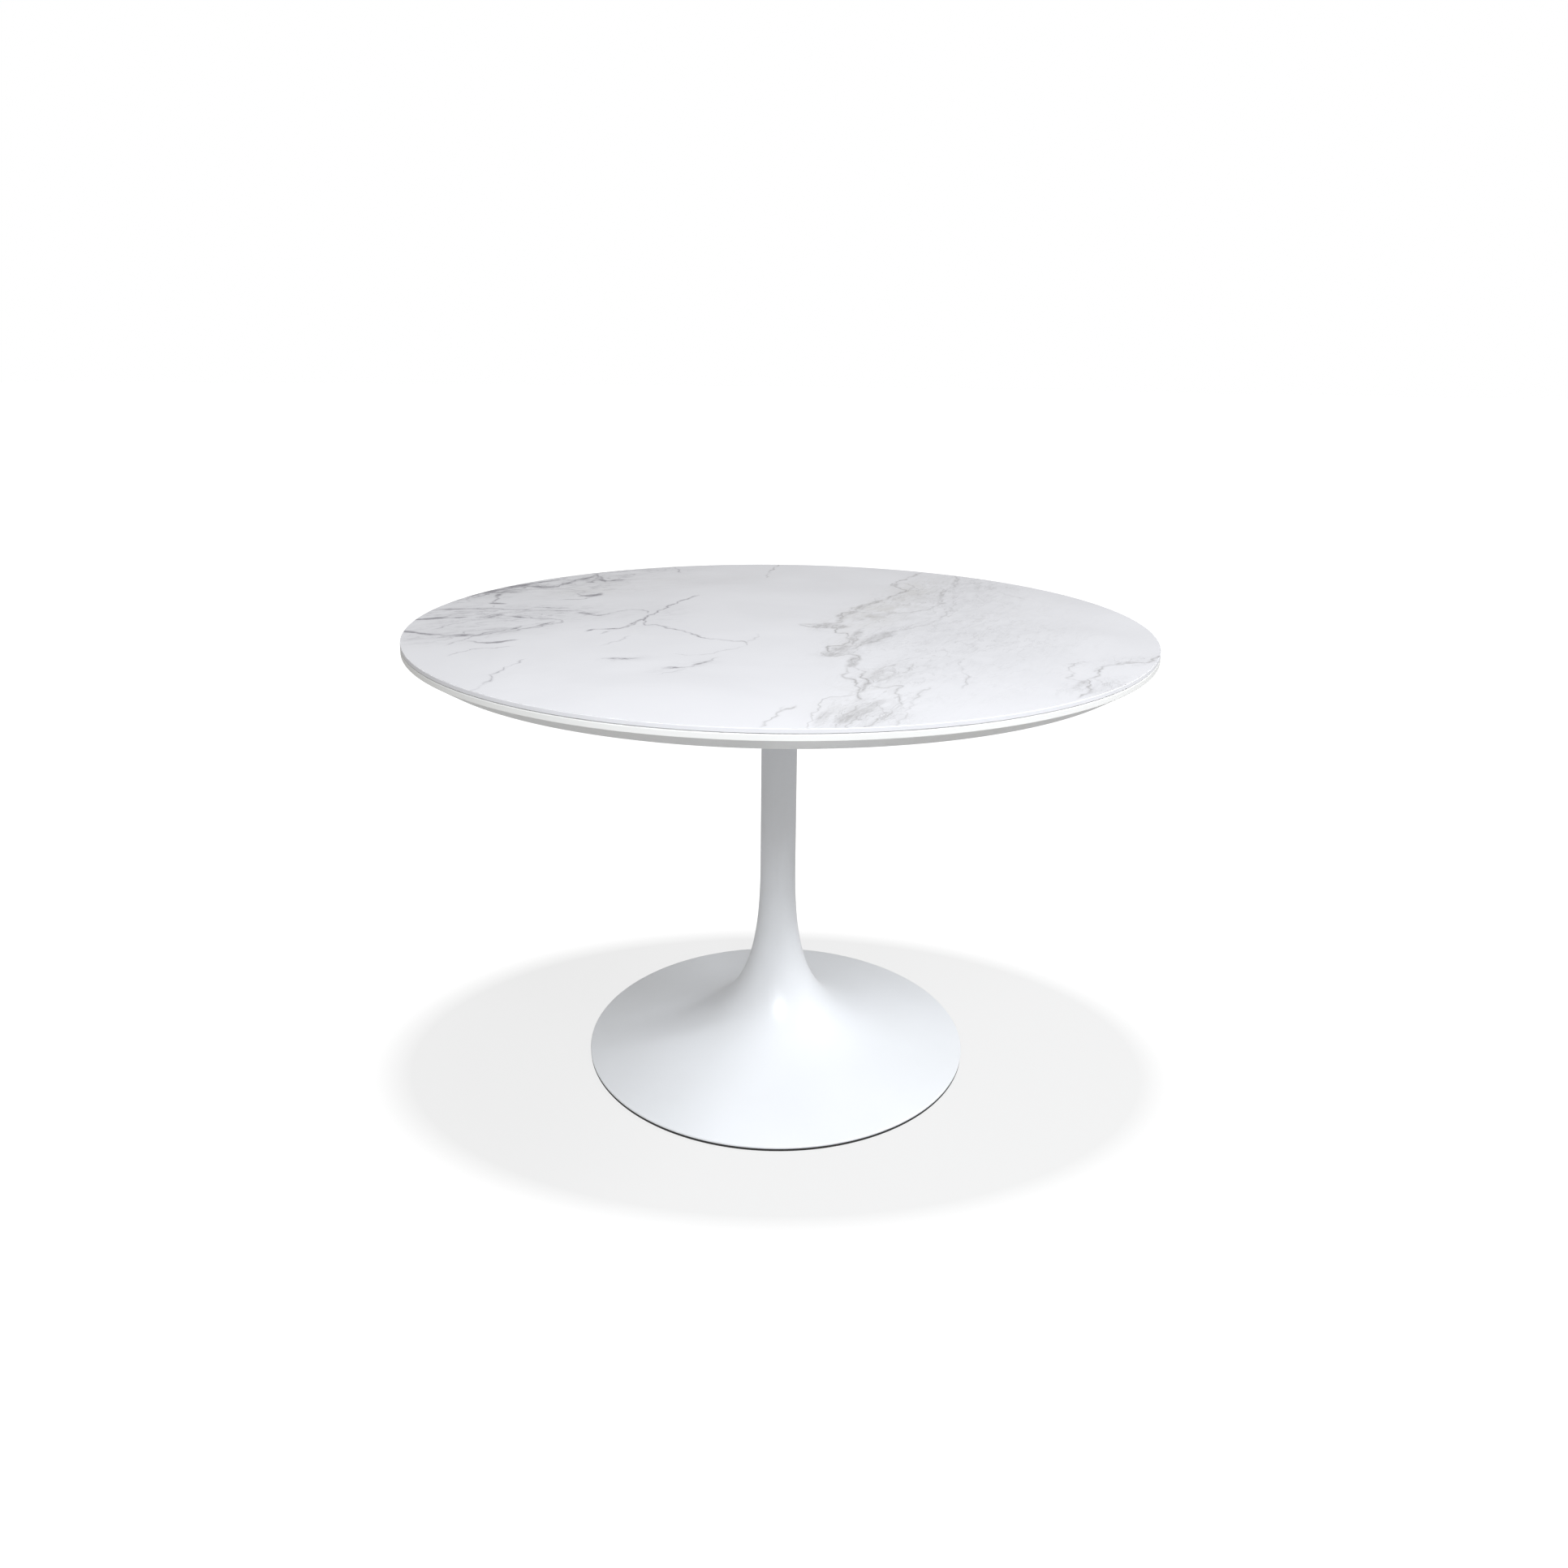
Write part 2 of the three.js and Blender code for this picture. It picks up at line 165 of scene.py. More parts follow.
def lathe(name, outline, sides, closed=False, shape=None):
    """Turns an outline of (radius, height) points about Z. A closed outline makes a ring.

    `shape` changes the radius at (radius, height, angle), for threads and hexagons.
    """
    verts = []
    rows = []
    for r, z in outline:
        if abs(r) < 1e-7:
            rows.append([len(verts)] * sides)
            verts.append((0, 0, z))
            continue
        rows.append(range(len(verts), len(verts) + sides))
        for k in range(sides):
            angle = TURN * k / sides
            reach = shape(r, z, angle) if shape else r
            verts.append((reach * math.cos(angle), reach * math.sin(angle), z))
    pairs = list(zip(rows, rows[1:]))
    if closed:
        pairs.append((rows[-1], rows[0]))
    faces = []
    for lower, upper in pairs:
        for k in range(sides):
            n = (k + 1) % sides
            corners = [lower[k], lower[n], upper[n], upper[k]]
            faces.append(list(dict.fromkeys(corners)))
    obj = new_object(name, verts, [f for f in faces if len(f) > 2])
    face_outwards(obj)
    return obj


def pipe(name, inner, outer, low, high, fillets, sides, steps=5):
    """A ring of rectangular section. Its fillets, in mm, start at the inside's low corner."""
    places = ((inner, low), (outer, low), (outer, high), (inner, high))
    corners = [(*place, fillet * MM) for place, fillet in zip(places, fillets)]
    return lathe(name, rounded(corners, steps), sides, closed=True)


def places_on_circle(radius, count, first_turn=0.0):
    return [Vector((radius * math.cos(TURN * (first_turn + i / count)),
                    radius * math.sin(TURN * (first_turn + i / count)), 0))
            for i in range(count)]


INSERT_PLACES = places_on_circle(INSERT_CIRCLE, 8, 1 / 16)
HUB_SCREW_PLACES = places_on_circle(HUB_SCREW_CIRCLE, 4)
BASE_SCREW_PLACES = places_on_circle(BASE_SCREW_CIRCLE, 6)


def carve(obj, cutters):
    """Cuts the cutters out of the object, and deletes them."""
    for cutter in cutters:
        cutter.hide_render = True
        cutting = obj.modifiers.new("cut", "BOOLEAN")
        cutting.operation = "DIFFERENCE"
        cutting.solver = "EXACT"
        cutting.object = cutter
    apply_modifiers(obj)
    for cutter in cutters:
        bpy.data.objects.remove(cutter)


def hole_cutters(outline, places, sides=32):
    """A turned cutter at each place."""
    cutters = []
    for place in places:
        cutter = lathe("cutter", outline, sides)
        cutter.data.transform(Matrix.Translation(place))
        cutters.append(cutter)
    return cutters


def straight_hole(radius, low, high, places):
    return hole_cutters([(0, low), (radius, low), (radius, high), (0, high)], places)


def thread(radius, low, high, pitch, depth):
    """A shape function that cuts a vee thread into one radius, between two heights."""
    def shape(r, z, angle):
        if r != radius or not low <= z <= high:
            return r
        turns = (z / pitch - angle / TURN) % 1
        groove = 1 - abs(2 * turns - 1)
        fade = min(1, (z - low) / pitch, (high - z) / pitch)
        return r - depth * groove * fade

    return shape


def thread_rows(radius, low, high, pitch):
    """Outline points close enough together to carry a thread."""
    count = round((high - low) / (pitch / 6))
    return [(radius, low + (high - low) * k / count) for k in range(count + 1)]


def hexagon(across_flats, outer):
    """A shape function for a nut's flats, cut off at the radius the outline gives."""
    def shape(r, z, angle):
        if r < outer:
            return r
        side = (angle + TURN / 12) % (TURN / 6) - TURN / 12
        return min(r, across_flats / 2 / math.cos(side))

    return shape


def hex_socket(across_flats, low, high):
    return lathe("socket", [(0, low), (across_flats / math.sqrt(3), low),
                            (across_flats / math.sqrt(3), high), (0, high)], 6)


def copies(first, nodes):
    """Uses one mesh, made about the Z axis, for several CAD nodes."""
    for i, node in enumerate(nodes):
        obj = first if i == 0 else first.copy()
        if i:
            bpy.context.scene.collection.objects.link(obj)
            obj.name = f"{first.name}_{i + 1}"
        middle = centre_of(node)
        obj.location = (middle.x, middle.y, 0)
        finish_piece(obj, node)


def numbered(name, count):
    return [f"{name}_{i + 1}" for i in range(count)]


def centre_of(node):
    low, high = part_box(node)
    return (low + high) / 2


def finish_piece(obj, *nodes):
    """Gives a finished mesh the material of its slot, and its body, in place of its CAD nodes."""
    slot = SLOTS[nodes[0]]
    obj.data.materials.clear()
    obj.data.materials.append(MATERIALS[slot])
    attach(obj, "root")
    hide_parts(*nodes)


# ---------------- material helpers

class Tree:
    """Short ways to build the node tree of a material or a world."""

    def __init__(self, owner):
        owner.use_nodes = True
        self.tree = owner.node_tree

    def add(self, kind, **values):
        node = self.tree.nodes.new(kind)
        for key, value in values.items():
            setattr(node, key, value)
        return node

    def link(self, source, target):
        if isinstance(source, (int, float, tuple)):
            target.default_value = source
        else:
            self.tree.links.new(source, target)

    def math(self, operation, *values):
        node = self.add("ShaderNodeMath", operation=operation)
        for socket, value in zip(node.inputs, values):
            self.link(value, socket)
        return node.outputs[0]

    def mix(self, factor, first, second):
        node = self.add("ShaderNodeMix", data_type="RGBA")
        self.link(factor, node.inputs[0])
        for socket, colour in ((node.inputs[6], first), (node.inputs[7], second)):
            self.link((*colour, 1) if isinstance(colour, tuple) else colour, socket)
        return node.outputs[2]

    def is_camera_ray(self):
        return self.add("ShaderNodeLightPath").outputs["Is Camera Ray"]


class Nodes(Tree):
    """Short ways to build one material's node tree."""

    def __init__(self, name):
        self.material = bpy.data.materials.new(name)
        super().__init__(self.material)
        self.shader = self.tree.nodes["Principled BSDF"]
        self.place = self.add("ShaderNodeTexCoord").outputs["Object"]

    def attribute(self, name):
        return self.add("ShaderNodeAttribute", attribute_name=name).outputs["Fac"]

    def grain(self, turn_degrees, length, width):
        """Coordinates for noise whose features lie along a direction in the top's plane."""
        node = self.add("ShaderNodeMapping", vector_type="TEXTURE")
        self.link(self.place, node.inputs["Vector"])
        node.inputs["Rotation"].default_value = (0, 0, math.radians(turn_degrees))
        node.inputs["Scale"].default_value = (length, width, 1)
        return node.outputs[0]

    def noise(self, scale, detail=3, roughness=0.5, distortion=0, where=None):
        node = self.add("ShaderNodeTexNoise")
        self.link(where or self.place, node.inputs["Vector"])
        sizes = {"Scale": scale, "Detail": detail, "Roughness": roughness,
                 "Distortion": distortion}
        for key, value in sizes.items():
            node.inputs[key].default_value = value
        return node.outputs[0]

    def spread(self, value, low, high, to_low=0, to_high=1):
        """Maps low..high to to_low..to_high, and holds the ends."""
        node = self.add("ShaderNodeMapRange", clamp=True)
        for socket, number in zip(node.inputs, (value, low, high, to_low, to_high)):
            self.link(number, socket)
        return node.outputs[0]

    def axis(self, name):
        node = self.add("ShaderNodeSeparateXYZ")
        self.link(self.place, node.inputs[0])
        return node.outputs[name]

    def blend(self, factor, first, second):
        node = self.add("ShaderNodeMix", data_type="FLOAT")
        for socket, value in zip(node.inputs[0:1] + node.inputs[2:4], (factor, first, second)):
            self.link(value, socket)
        return node.outputs[0]

    def bump(self, height, depth):
        node = self.add("ShaderNodeBump")
        self.link(height, node.inputs["Height"])
        node.inputs["Distance"].default_value = depth
        return node.outputs[0]

    def finish(self, colour, roughness, normal=None, **fixed):
        self.link(colour, self.shader.inputs["Base Color"])
        self.link(roughness, self.shader.inputs["Roughness"])
        if normal is not None:
            self.link(normal, self.shader.inputs["Normal"])
        for key, value in fixed.items():
            self.shader.inputs[key.replace("_", " ")].default_value = value
        return self.material


# ---------------- marble veins

# Each vein is (layer, half width, darkness, points). Widths are in millimetres, and so are
# the points, which are places on the table's top. Veins that run close together are on
# different layers.
VEINS = [
    # The main vein: back rim, spike left of it, then down to the front rim in two strands.
    ("a", 1.9, 0.55, [(290, 520), (250, 440), (215, 370), (235, 310), (210, 260), (180, 200),
        (140, 150), (130, 110), (105, 80), (100, 20), (85, 0), (30, -10)]),
    ("a", 1.5, 0.60, [(30, -10), (55, -35), (85, -30), (90, -70), (105, -80), (105, -130),
        (95, -160), (75, -165), (70, -200), (62, -215), (77, -235), (100, -218), (112, -225),
        (112, -255), (98, -290), (94, -320), (86, -348), (100, -372), (104, -410), (100, -437)]),
    ("a", 0.9, 0.42, [(100, -437), (80, -455), (56, -464), (52, -480), (50, -500), (44, -525),
        (38, -555), (33, -600)]),
    ("b", 1.5, 0.62, [(105, -235), (104, -290), (115, -320), (112, -343), (118, -378), (112, -408),
        (103, -437), (100, -473)]),
    ("b", 1.0, 0.45, [(139, -467), (109, -484), (86, -526), (75, -560), (65, -600)]),
    ("b", 1.3, 0.40, [(235, 400), (255, 360), (245, 320), (220, 270)]),
    ("b", 1.2, 0.35, [(175, 230), (165, 180), (125, 130), (115, 90)]),
    # The strands right of it.
    ("a", 1.5, 0.45, [(355, 490), (350, 420), (335, 360), (305, 300), (295, 240), (290, 200),
        (275, 160), (250, 120), (200, 90), (160, 80)]),
    ("b", 1.3, 0.30, [(320, 270), (310, 180), (290, 110), (270, 50), (240, 0), (190, -50)]),
    ("b", 2.6, 0.45, [(185, -45), (170, -90), (145, -130), (120, -160), (105, -195)]),
    ("b", 1.6, 0.45, [(135, -30), (120, -80), (117, -120), (108, -160)]),
    ("a", 1.4, 0.35, [(170, -270), (145, -300), (140, -340), (130, -370)]),
    ("b", 1.4, 0.35, [(190, -270), (180, -310), (150, -350), (128, -385)]),
    ("a", 1.2, 0.45, [(115, -400), (136, -407), (160, -396), (151, -437), (154, -470), (140, -520),
        (118, -560), (95, -600)]),
    ("b", 1.3, 0.38, [(200, -400), (180, -440), (165, -490), (150, -550), (130, -600)]),
    ("a", 1.2, 0.45, [(125, -490), (105, -530), (88, -560), (78, -600)]),
    # The small one left of it at the front rim.
    ("a", 1.4, 0.55, [(20, -500), (0, -530), (-10, -560), (-25, -600)]),
    ("b", 1.0, 0.40, [(5, -505), (-5, -540)]),
    # The crack left of the middle, and its branches.
    ("a", 1.5, 0.72, [(-150, 240), (-170, 200), (-190, 150), (-205, 100), (-220, 50), (-235, 0),
        (-250, -50), (-280, -65), (-305, -70)]),
    ("b", 1.5, 0.68, [(-226, 35), (-222, -22), (-200, -30), (-170, -60), (-145, -80), (-135, -100),
        (-110, -125), (-80, -135), (-55, -145), (-50, -170)]),
    ("a", 1.0, 0.35, [(-55, -145), (-35, -110), (-40, -80)]),
    ("a", 1.1, 0.30, [(-50, -170), (-90, -210), (-120, -235), (-160, -225)]),
    ("b", 1.6, 0.62, [(-226, 67), (-239, 98), (-275, 85), (-292, 58), (-310, 45), (-335, 60)]),
    ("b", 1.2, 0.35, [(-255, -60), (-275, -80), (-280, -100)]),
    # The cluster at the left.
    ("a", 1.7, 0.69, [(-600, 65), (-570, 85), (-530, 85), (-500, 90), (-450, 85), (-400, 80),
        (-360, 85), (-330, 70), (-310, 45)]),
    ("b", 1.6, 0.64, [(-515, 240), (-510, 200), (-505, 140), (-490, 130)]),
    ("a", 1.2, 0.49, [(-500, 130), (-500, 95)]),
    ("b", 1.8, 0.64, [(-600, -10), (-570, 10), (-545, 30), (-520, 30)]),
    ("a", 1.5, 0.59, [(-500, 10), (-480, 45), (-460, 30), (-430, 35), (-400, 10), (-370, 10),
        (-360, -15), (-390, -50), (-420, -80), (-460, -110), (-480, -140), (-500, -190)]),
    ("b", 1.8, 0.69, [(-595, -95), (-560, -110), (-530, -120), (-490, -130), (-460, -100),
        (-430, -70)]),
    ("b", 2.0, 0.74, [(-480, -160), (-440, -170), (-410, -150)]),
    ("b", 1.2, 0.56, [(-480, -260), (-460, -220), (-420, -200), (-400, -190)]),
    ("b", 1.6, 0.59, [(-420, 110), (-390, 100), (-360, 105)]),
    ("b", 1.2, 0.49, [(-550, -80), (-530, -40), (-510, -20)]),
    # The cluster at the back left.
    ("a", 1.9, 0.69, [(-490, 280), (-470, 310), (-430, 300), (-420, 330), (-400, 380), (-375, 420),
        (-370, 460)]),
    ("b", 1.7, 0.74, [(-370, 450), (-355, 410), (-345, 380), (-340, 360)]),
    ("a", 1.5, 0.64, [(-375, 355), (-360, 385), (-335, 375), (-310, 395)]),
    ("b", 1.9, 0.56, [(-500, 270), (-430, 285), (-390, 280), (-365, 260), (-370, 230), (-345, 215),
        (-330, 230)]),
    ("a", 1.4, 0.54, [(-340, 210), (-355, 190), (-400, 175)]),
    ("a", 2.4, 0.74, [(-585, 170), (-550, 225), (-520, 260), (-500, 310)]),
    ("b", 1.5, 0.64, [(-225, 565), (-210, 510), (-205, 480)]),
    # Short ones in the left half.
    ("a", 1.3, 0.50, [(-365, -270), (-380, -320), (-390, -360), (-388, -400), (-400, -450)]),
    ("a", 2.0, 0.50, [(-250, -260), (-225, -260), (-205, -255)]),
    ("a", 1.6, 0.55, [(-90, -245), (-110, -280), (-130, -305), (-165, -312)]),
    ("b", 1.1, 0.35, [(-130, -315), (-165, -350)]),
    ("a", 1.0, 0.28, [(-235, -110), (-250, -150), (-270, -180)]),
    ("a", 1.2, 0.50, [(-5, 600), (-15, 550), (-25, 500), (-30, 430)]),
    # The one at the right rim, and faint ones right of the middle.
    ("a", 1.9, 0.60, [(600, -150), (565, -200), (535, -245), (490, -260), (455, -285), (445, -320),
        (425, -350), (415, -380), (410, -410), (385, -450)]),
    ("b", 1.4, 0.45, [(450, -250), (425, -260), (410, -290), (405, -330), (395, -350),
        (420, -365)]),
    ("a", 1.1, 0.38, [(260, -250), (255, -310), (257, -350), (240, -410)]),
    ("b", 1.1, 0.32, [(410, 310), (425, 270), (450, 235)]),
    ("b", 1.2, 0.28, [(370, 420), (385, 370), (375, 330)]),
    ("a", 1.2, 0.25, [(340, 40), (335, -10)]),
    ("a", 1.2, 0.25, [(280, -120), (285, -160)]),
]

# Each cloud is (x, y, long radius, short radius, direction, strength), in millimetres and
# degrees. Cool clouds are grey, and warm ones are beige.
COOL_CLOUDS = [
    (-530, 240, 110, 45, 55, 0.80),
    (-470, 50, 170, 70, 8, 0.50),
    (-500, -100, 120, 50, 30, 0.50),
    (-390, 360, 110, 70, 60, 0.50),
    (-300, 490, 160, 50, 35, 0.35),
    (-200, 20, 100, 30, 75, 0.12),
    (75, -20, 35, 18, 60, 0.70),
    (160, -100, 90, 22, 62, 0.55),
    (90, -210, 35, 18, 20, 0.45),
    (300, 150, 300, 100, 70, 0.28),
    (360, 360, 140, 70, 65, 0.30),
    (320, -150, 300, 130, 68, 0.25),
    (160, -330, 90, 35, 60, 0.45),
    (105, -540, 90, 45, 70, 0.55),
    (420, -390, 60, 30, 40, 0.40),
    (520, -240, 60, 25, 20, 0.35),
    (-220, -260, 30, 12, 10, 0.40),
    (-130, -300, 50, 20, 40, 0.30),
]
WARM_CLOUDS = [
    (145, 60, 100, 50, 60, 0.65),
    (215, 210, 170, 48, 68, 0.65),
    (270, 360, 110, 40, 64, 0.45),
    (100, -150, 100, 30, 80, 0.40),
    (-360, 280, 120, 60, 20, 0.40),
    (-200, 400, 160, 60, 10, 0.18),
    (100, -500, 100, 50, 75, 0.35),
    (130, -360, 80, 40, 70, 0.35),
]
# Smears are small dark clouds with ragged edges, where a vein widens. They are in the same form.
SMEARS = [
    # Along the main vein.
    (222, 370, 35, 8, 65, 0.65),
    (243, 308, 20, 7, 60, 0.55),
    (163, 178, 42, 8, 58, 0.75),
    (140, 138, 18, 7, 80, 0.75),
    (116, 86, 34, 9, 50, 0.90),
    (100, 38, 34, 8, 80, 0.60),
    (72, -22, 24, 14, 12, 1.00),
    (93, -26, 18, 14, 10, 0.90),
    (120, -88, 50, 9, 76, 0.85),
    (150, -105, 85, 13, 62, 0.70),
    (88, -188, 36, 15, 72, 0.70),
    (150, 55, 60, 26, 50, 0.45),
    (135, -330, 50, 12, 62, 0.50),
    (74, -224, 16, 10, 30, 0.70),
    (105, -265, 46, 10, 78, 0.85),
    (114, -395, 34, 6, 72, 0.65),
    (118, -486, 22, 9, 50, 0.75),
    (86, -548, 50, 14, 60, 0.75),
    (52, -548, 45, 9, 72, 0.60),
    (300, 275, 28, 6, 72, 0.75),
    (345, 420, 50, 6, 72, 0.60),
    (288, 185, 14, 8, 40, 0.60),
    # In the cluster at the back left, and along the rim there.
    (-565, 215, 36, 10, 62, 1.00),
    (-530, 265, 42, 12, 57, 1.00),
    (-495, 315, 26, 11, 55, 1.00),
    (-455, 305, 30, 10, -8, 0.85),
    (-450, 368, 44, 6, 46, 0.75),
    (-412, 340, 36, 5, 65, 0.85),
    (-385, 402, 28, 6, 55, 0.95),
    (-348, 384, 26, 6, -60, 0.95),
    (-320, 388, 20, 6, 25, 0.85),
    (-368, 362, 9, 8, 0, 0.85),
    (-347, 222, 20, 10, 25, 1.00),
    (-333, 240, 14, 5, 80, 0.85),
    (-514, 212, 18, 5, 90, 0.95),
    (-497, 136, 18, 8, -15, 0.90),
    # In the cluster at the left.
    (-552, 83, 45, 5, 15, 0.75),
    (-580, 2, 30, 8, 20, 1.00),
    (-531, 14, 14, 6, 30, 0.80),
    (-480, 28, 24, 8, 60, 0.70),
    (-434, 22, 28, 6, -25, 0.75),
    (-410, 107, 20, 5, 0, 0.75),
    (-372, 79, 26, 5, 0, 0.75),
    (-330, 58, 20, 6, -35, 0.85),
    (-300, 50, 14, 6, 40, 0.85),
    (-383, -30, 24, 4, 58, 0.75),
    (-423, -65, 22, 6, 75, 0.65),
    (-582, -100, 22, 6, -20, 0.90),
    (-546, -116, 18, 6, -20, 0.80),
    (-496, -120, 20, 9, 15, 0.90),
    (-440, -169, 18, 6, 5, 0.95),
    (-415, -155, 18, 4, 35, 0.80),
    # At the foot of the crack left of the middle, and short ones in front of it.
    (-240, -10, 40, 4, 72, 0.65),
    (-272, -61, 22, 5, 10, 0.75),
    (-304, -74, 16, 4, 60, 0.60),
    (-277, -88, 16, 3, 65, 0.55),
    (-190, -37, 30, 4, -35, 0.60),
    (-235, -262, 24, 5, -5, 0.75),
    (-112, -283, 22, 5, 48, 0.70),
    (-150, -312, 20, 5, 8, 0.75),
    (-386, -345, 30, 3, 75, 0.55),
    # At the right rim.
    (500, -252, 32, 6, 30, 0.75),
    (447, -297, 22, 5, 75, 0.70),
    (410, -372, 24, 8, 60, 0.75),
    (425, -262, 16, 5, 10, 0.65),
]
SAMPLE_STEP = 1 * MM
TAPER = 10 * MM
CLEAR_REACH = 5 * MM
LOST_REACH = 9 * MM


def vein_line(points, wobble):
    """Places every millimetre along a smooth line through the points, with small bends."""
    knots = [Vector((x * MM, y * MM)) for x, y in points]
    knots = [knots[0] * 2 - knots[1], *knots, knots[-1] * 2 - knots[-2]]
    line = []
    for a, b, c, d in zip(knots, knots[1:], knots[2:], knots[3:]):
        count = max(2, round((c - b).length / SAMPLE_STEP))
        for k in range(count):
            t = k / count
            bend = (c - a) * t + (2 * a - 5 * b + 4 * c - d) * t**2
            line.append(b + (bend + (3 * b - a - 3 * c + d) * t**3) / 2)
    waves = [(size * MM, TURN / (length * MM), wobble.uniform(0, TURN))
             for size, length in ((2.2, 47), (1.5, 21), (0.9, 9))]
    bent = []
    for i, place in enumerate(line):
        run = (line[min(i + 1, len(line) - 1)] - line[max(i - 1, 0)]).normalized()
        side = Vector((-run.y, run.x))
        along = i * SAMPLE_STEP
        ends = min(1, along / TAPER, (len(line) - 1 - i) * SAMPLE_STEP / TAPER)
        shift = sum(size * math.sin(rate * along + phase) for size, rate, phase in waves)
        bent.append((place + side * shift * ends, side, ends))
    return bent


def vein_layer(name, places, seed):
    """Distance from the nearest vein's middle, its width and its darkness at each place."""
    wobble = random.Random(seed)
    samples = []
    for layer, width, dark, points in VEINS:
        if layer == name:
            for place, side, ends in vein_line(points, wobble):
                samples.append((place, side, width * MM, dark * (0.15 + 0.85 * ends)))
    tree = kdtree.KDTree(len(samples))
    for i, sample in enumerate(samples):
        tree.insert((*sample[0], 0), i)
    tree.balance()
    across = np.ones(len(places))
    widths = np.full(len(places), MM)
    darks = np.zeros(len(places))
    for i, (x, y) in enumerate(places):
        _, nearest, distance = tree.find((x, y, 0))
        if distance < LOST_REACH:
            place, side, width, dark = samples[nearest]
            fade = (LOST_REACH - distance) / (LOST_REACH - CLEAR_REACH)
            across[i] = (Vector((x, y)) - place).dot(side)
            widths[i] = width
            darks[i] = dark * min(1, fade)
    return across, widths, darks


def cloud_cover(clouds, places):
    """How much of each place is under the clouds, from 0 to 1."""
    clear = np.ones(len(places))
    for *sizes, turn, strength in clouds:
        x, y, long, short = (size * MM for size in sizes)
        angle = math.radians(turn)
        dx, dy = places[:, 0] - x, places[:, 1] - y
        along = (dx * math.cos(angle) + dy * math.sin(angle)) / long
        side = (dy * math.cos(angle) - dx * math.sin(angle)) / short
        clear *= 1 - strength * np.exp(-(along**2 + side**2))
    return 1 - clear


def mark_marble(mesh):
    """Stores what the marble material reads on every vertex. The slab's side stays plain."""
    co = np.empty(len(mesh.vertices) * 3)
    mesh.vertices.foreach_get("co", co)
    places = co.reshape(-1, 3)[:, :2]
    on_top = co[2::3] > TABLE_HEIGHT - 0.01 * MM
    values = {"cool_cloud": on_top * cloud_cover(COOL_CLOUDS, places),
              "warm_cloud": on_top * cloud_cover(WARM_CLOUDS, places),
              "smear": on_top * cloud_cover(SMEARS, places)}
    for layer, seed in (("a", 3), ("b", 8)):
        across, widths, darks = vein_layer(layer, places, seed)
        values.update({f"vein_{layer}_across": across, f"vein_{layer}_width": widths,
                       f"vein_{layer}_dark": on_top * darks})
    for name, data in values.items():
        mesh.attributes.new(name, "FLOAT", "POINT").data.foreach_set("value", data)


# ---------------- materials

STONE_WHITE = (0.75, 0.75, 0.78)
STONE_GREY = (0.42, 0.42, 0.44)
STONE_BEIGE = (0.60, 0.59, 0.575)
STONE_VEIN = (0.215, 0.205, 0.20)
STONE_VEIN_LEFT = (0.15, 0.14, 0.17)
VEIN_BEND = 3.0 * MM
LEFT_END, RIGHT_START = -0.15, 0.0


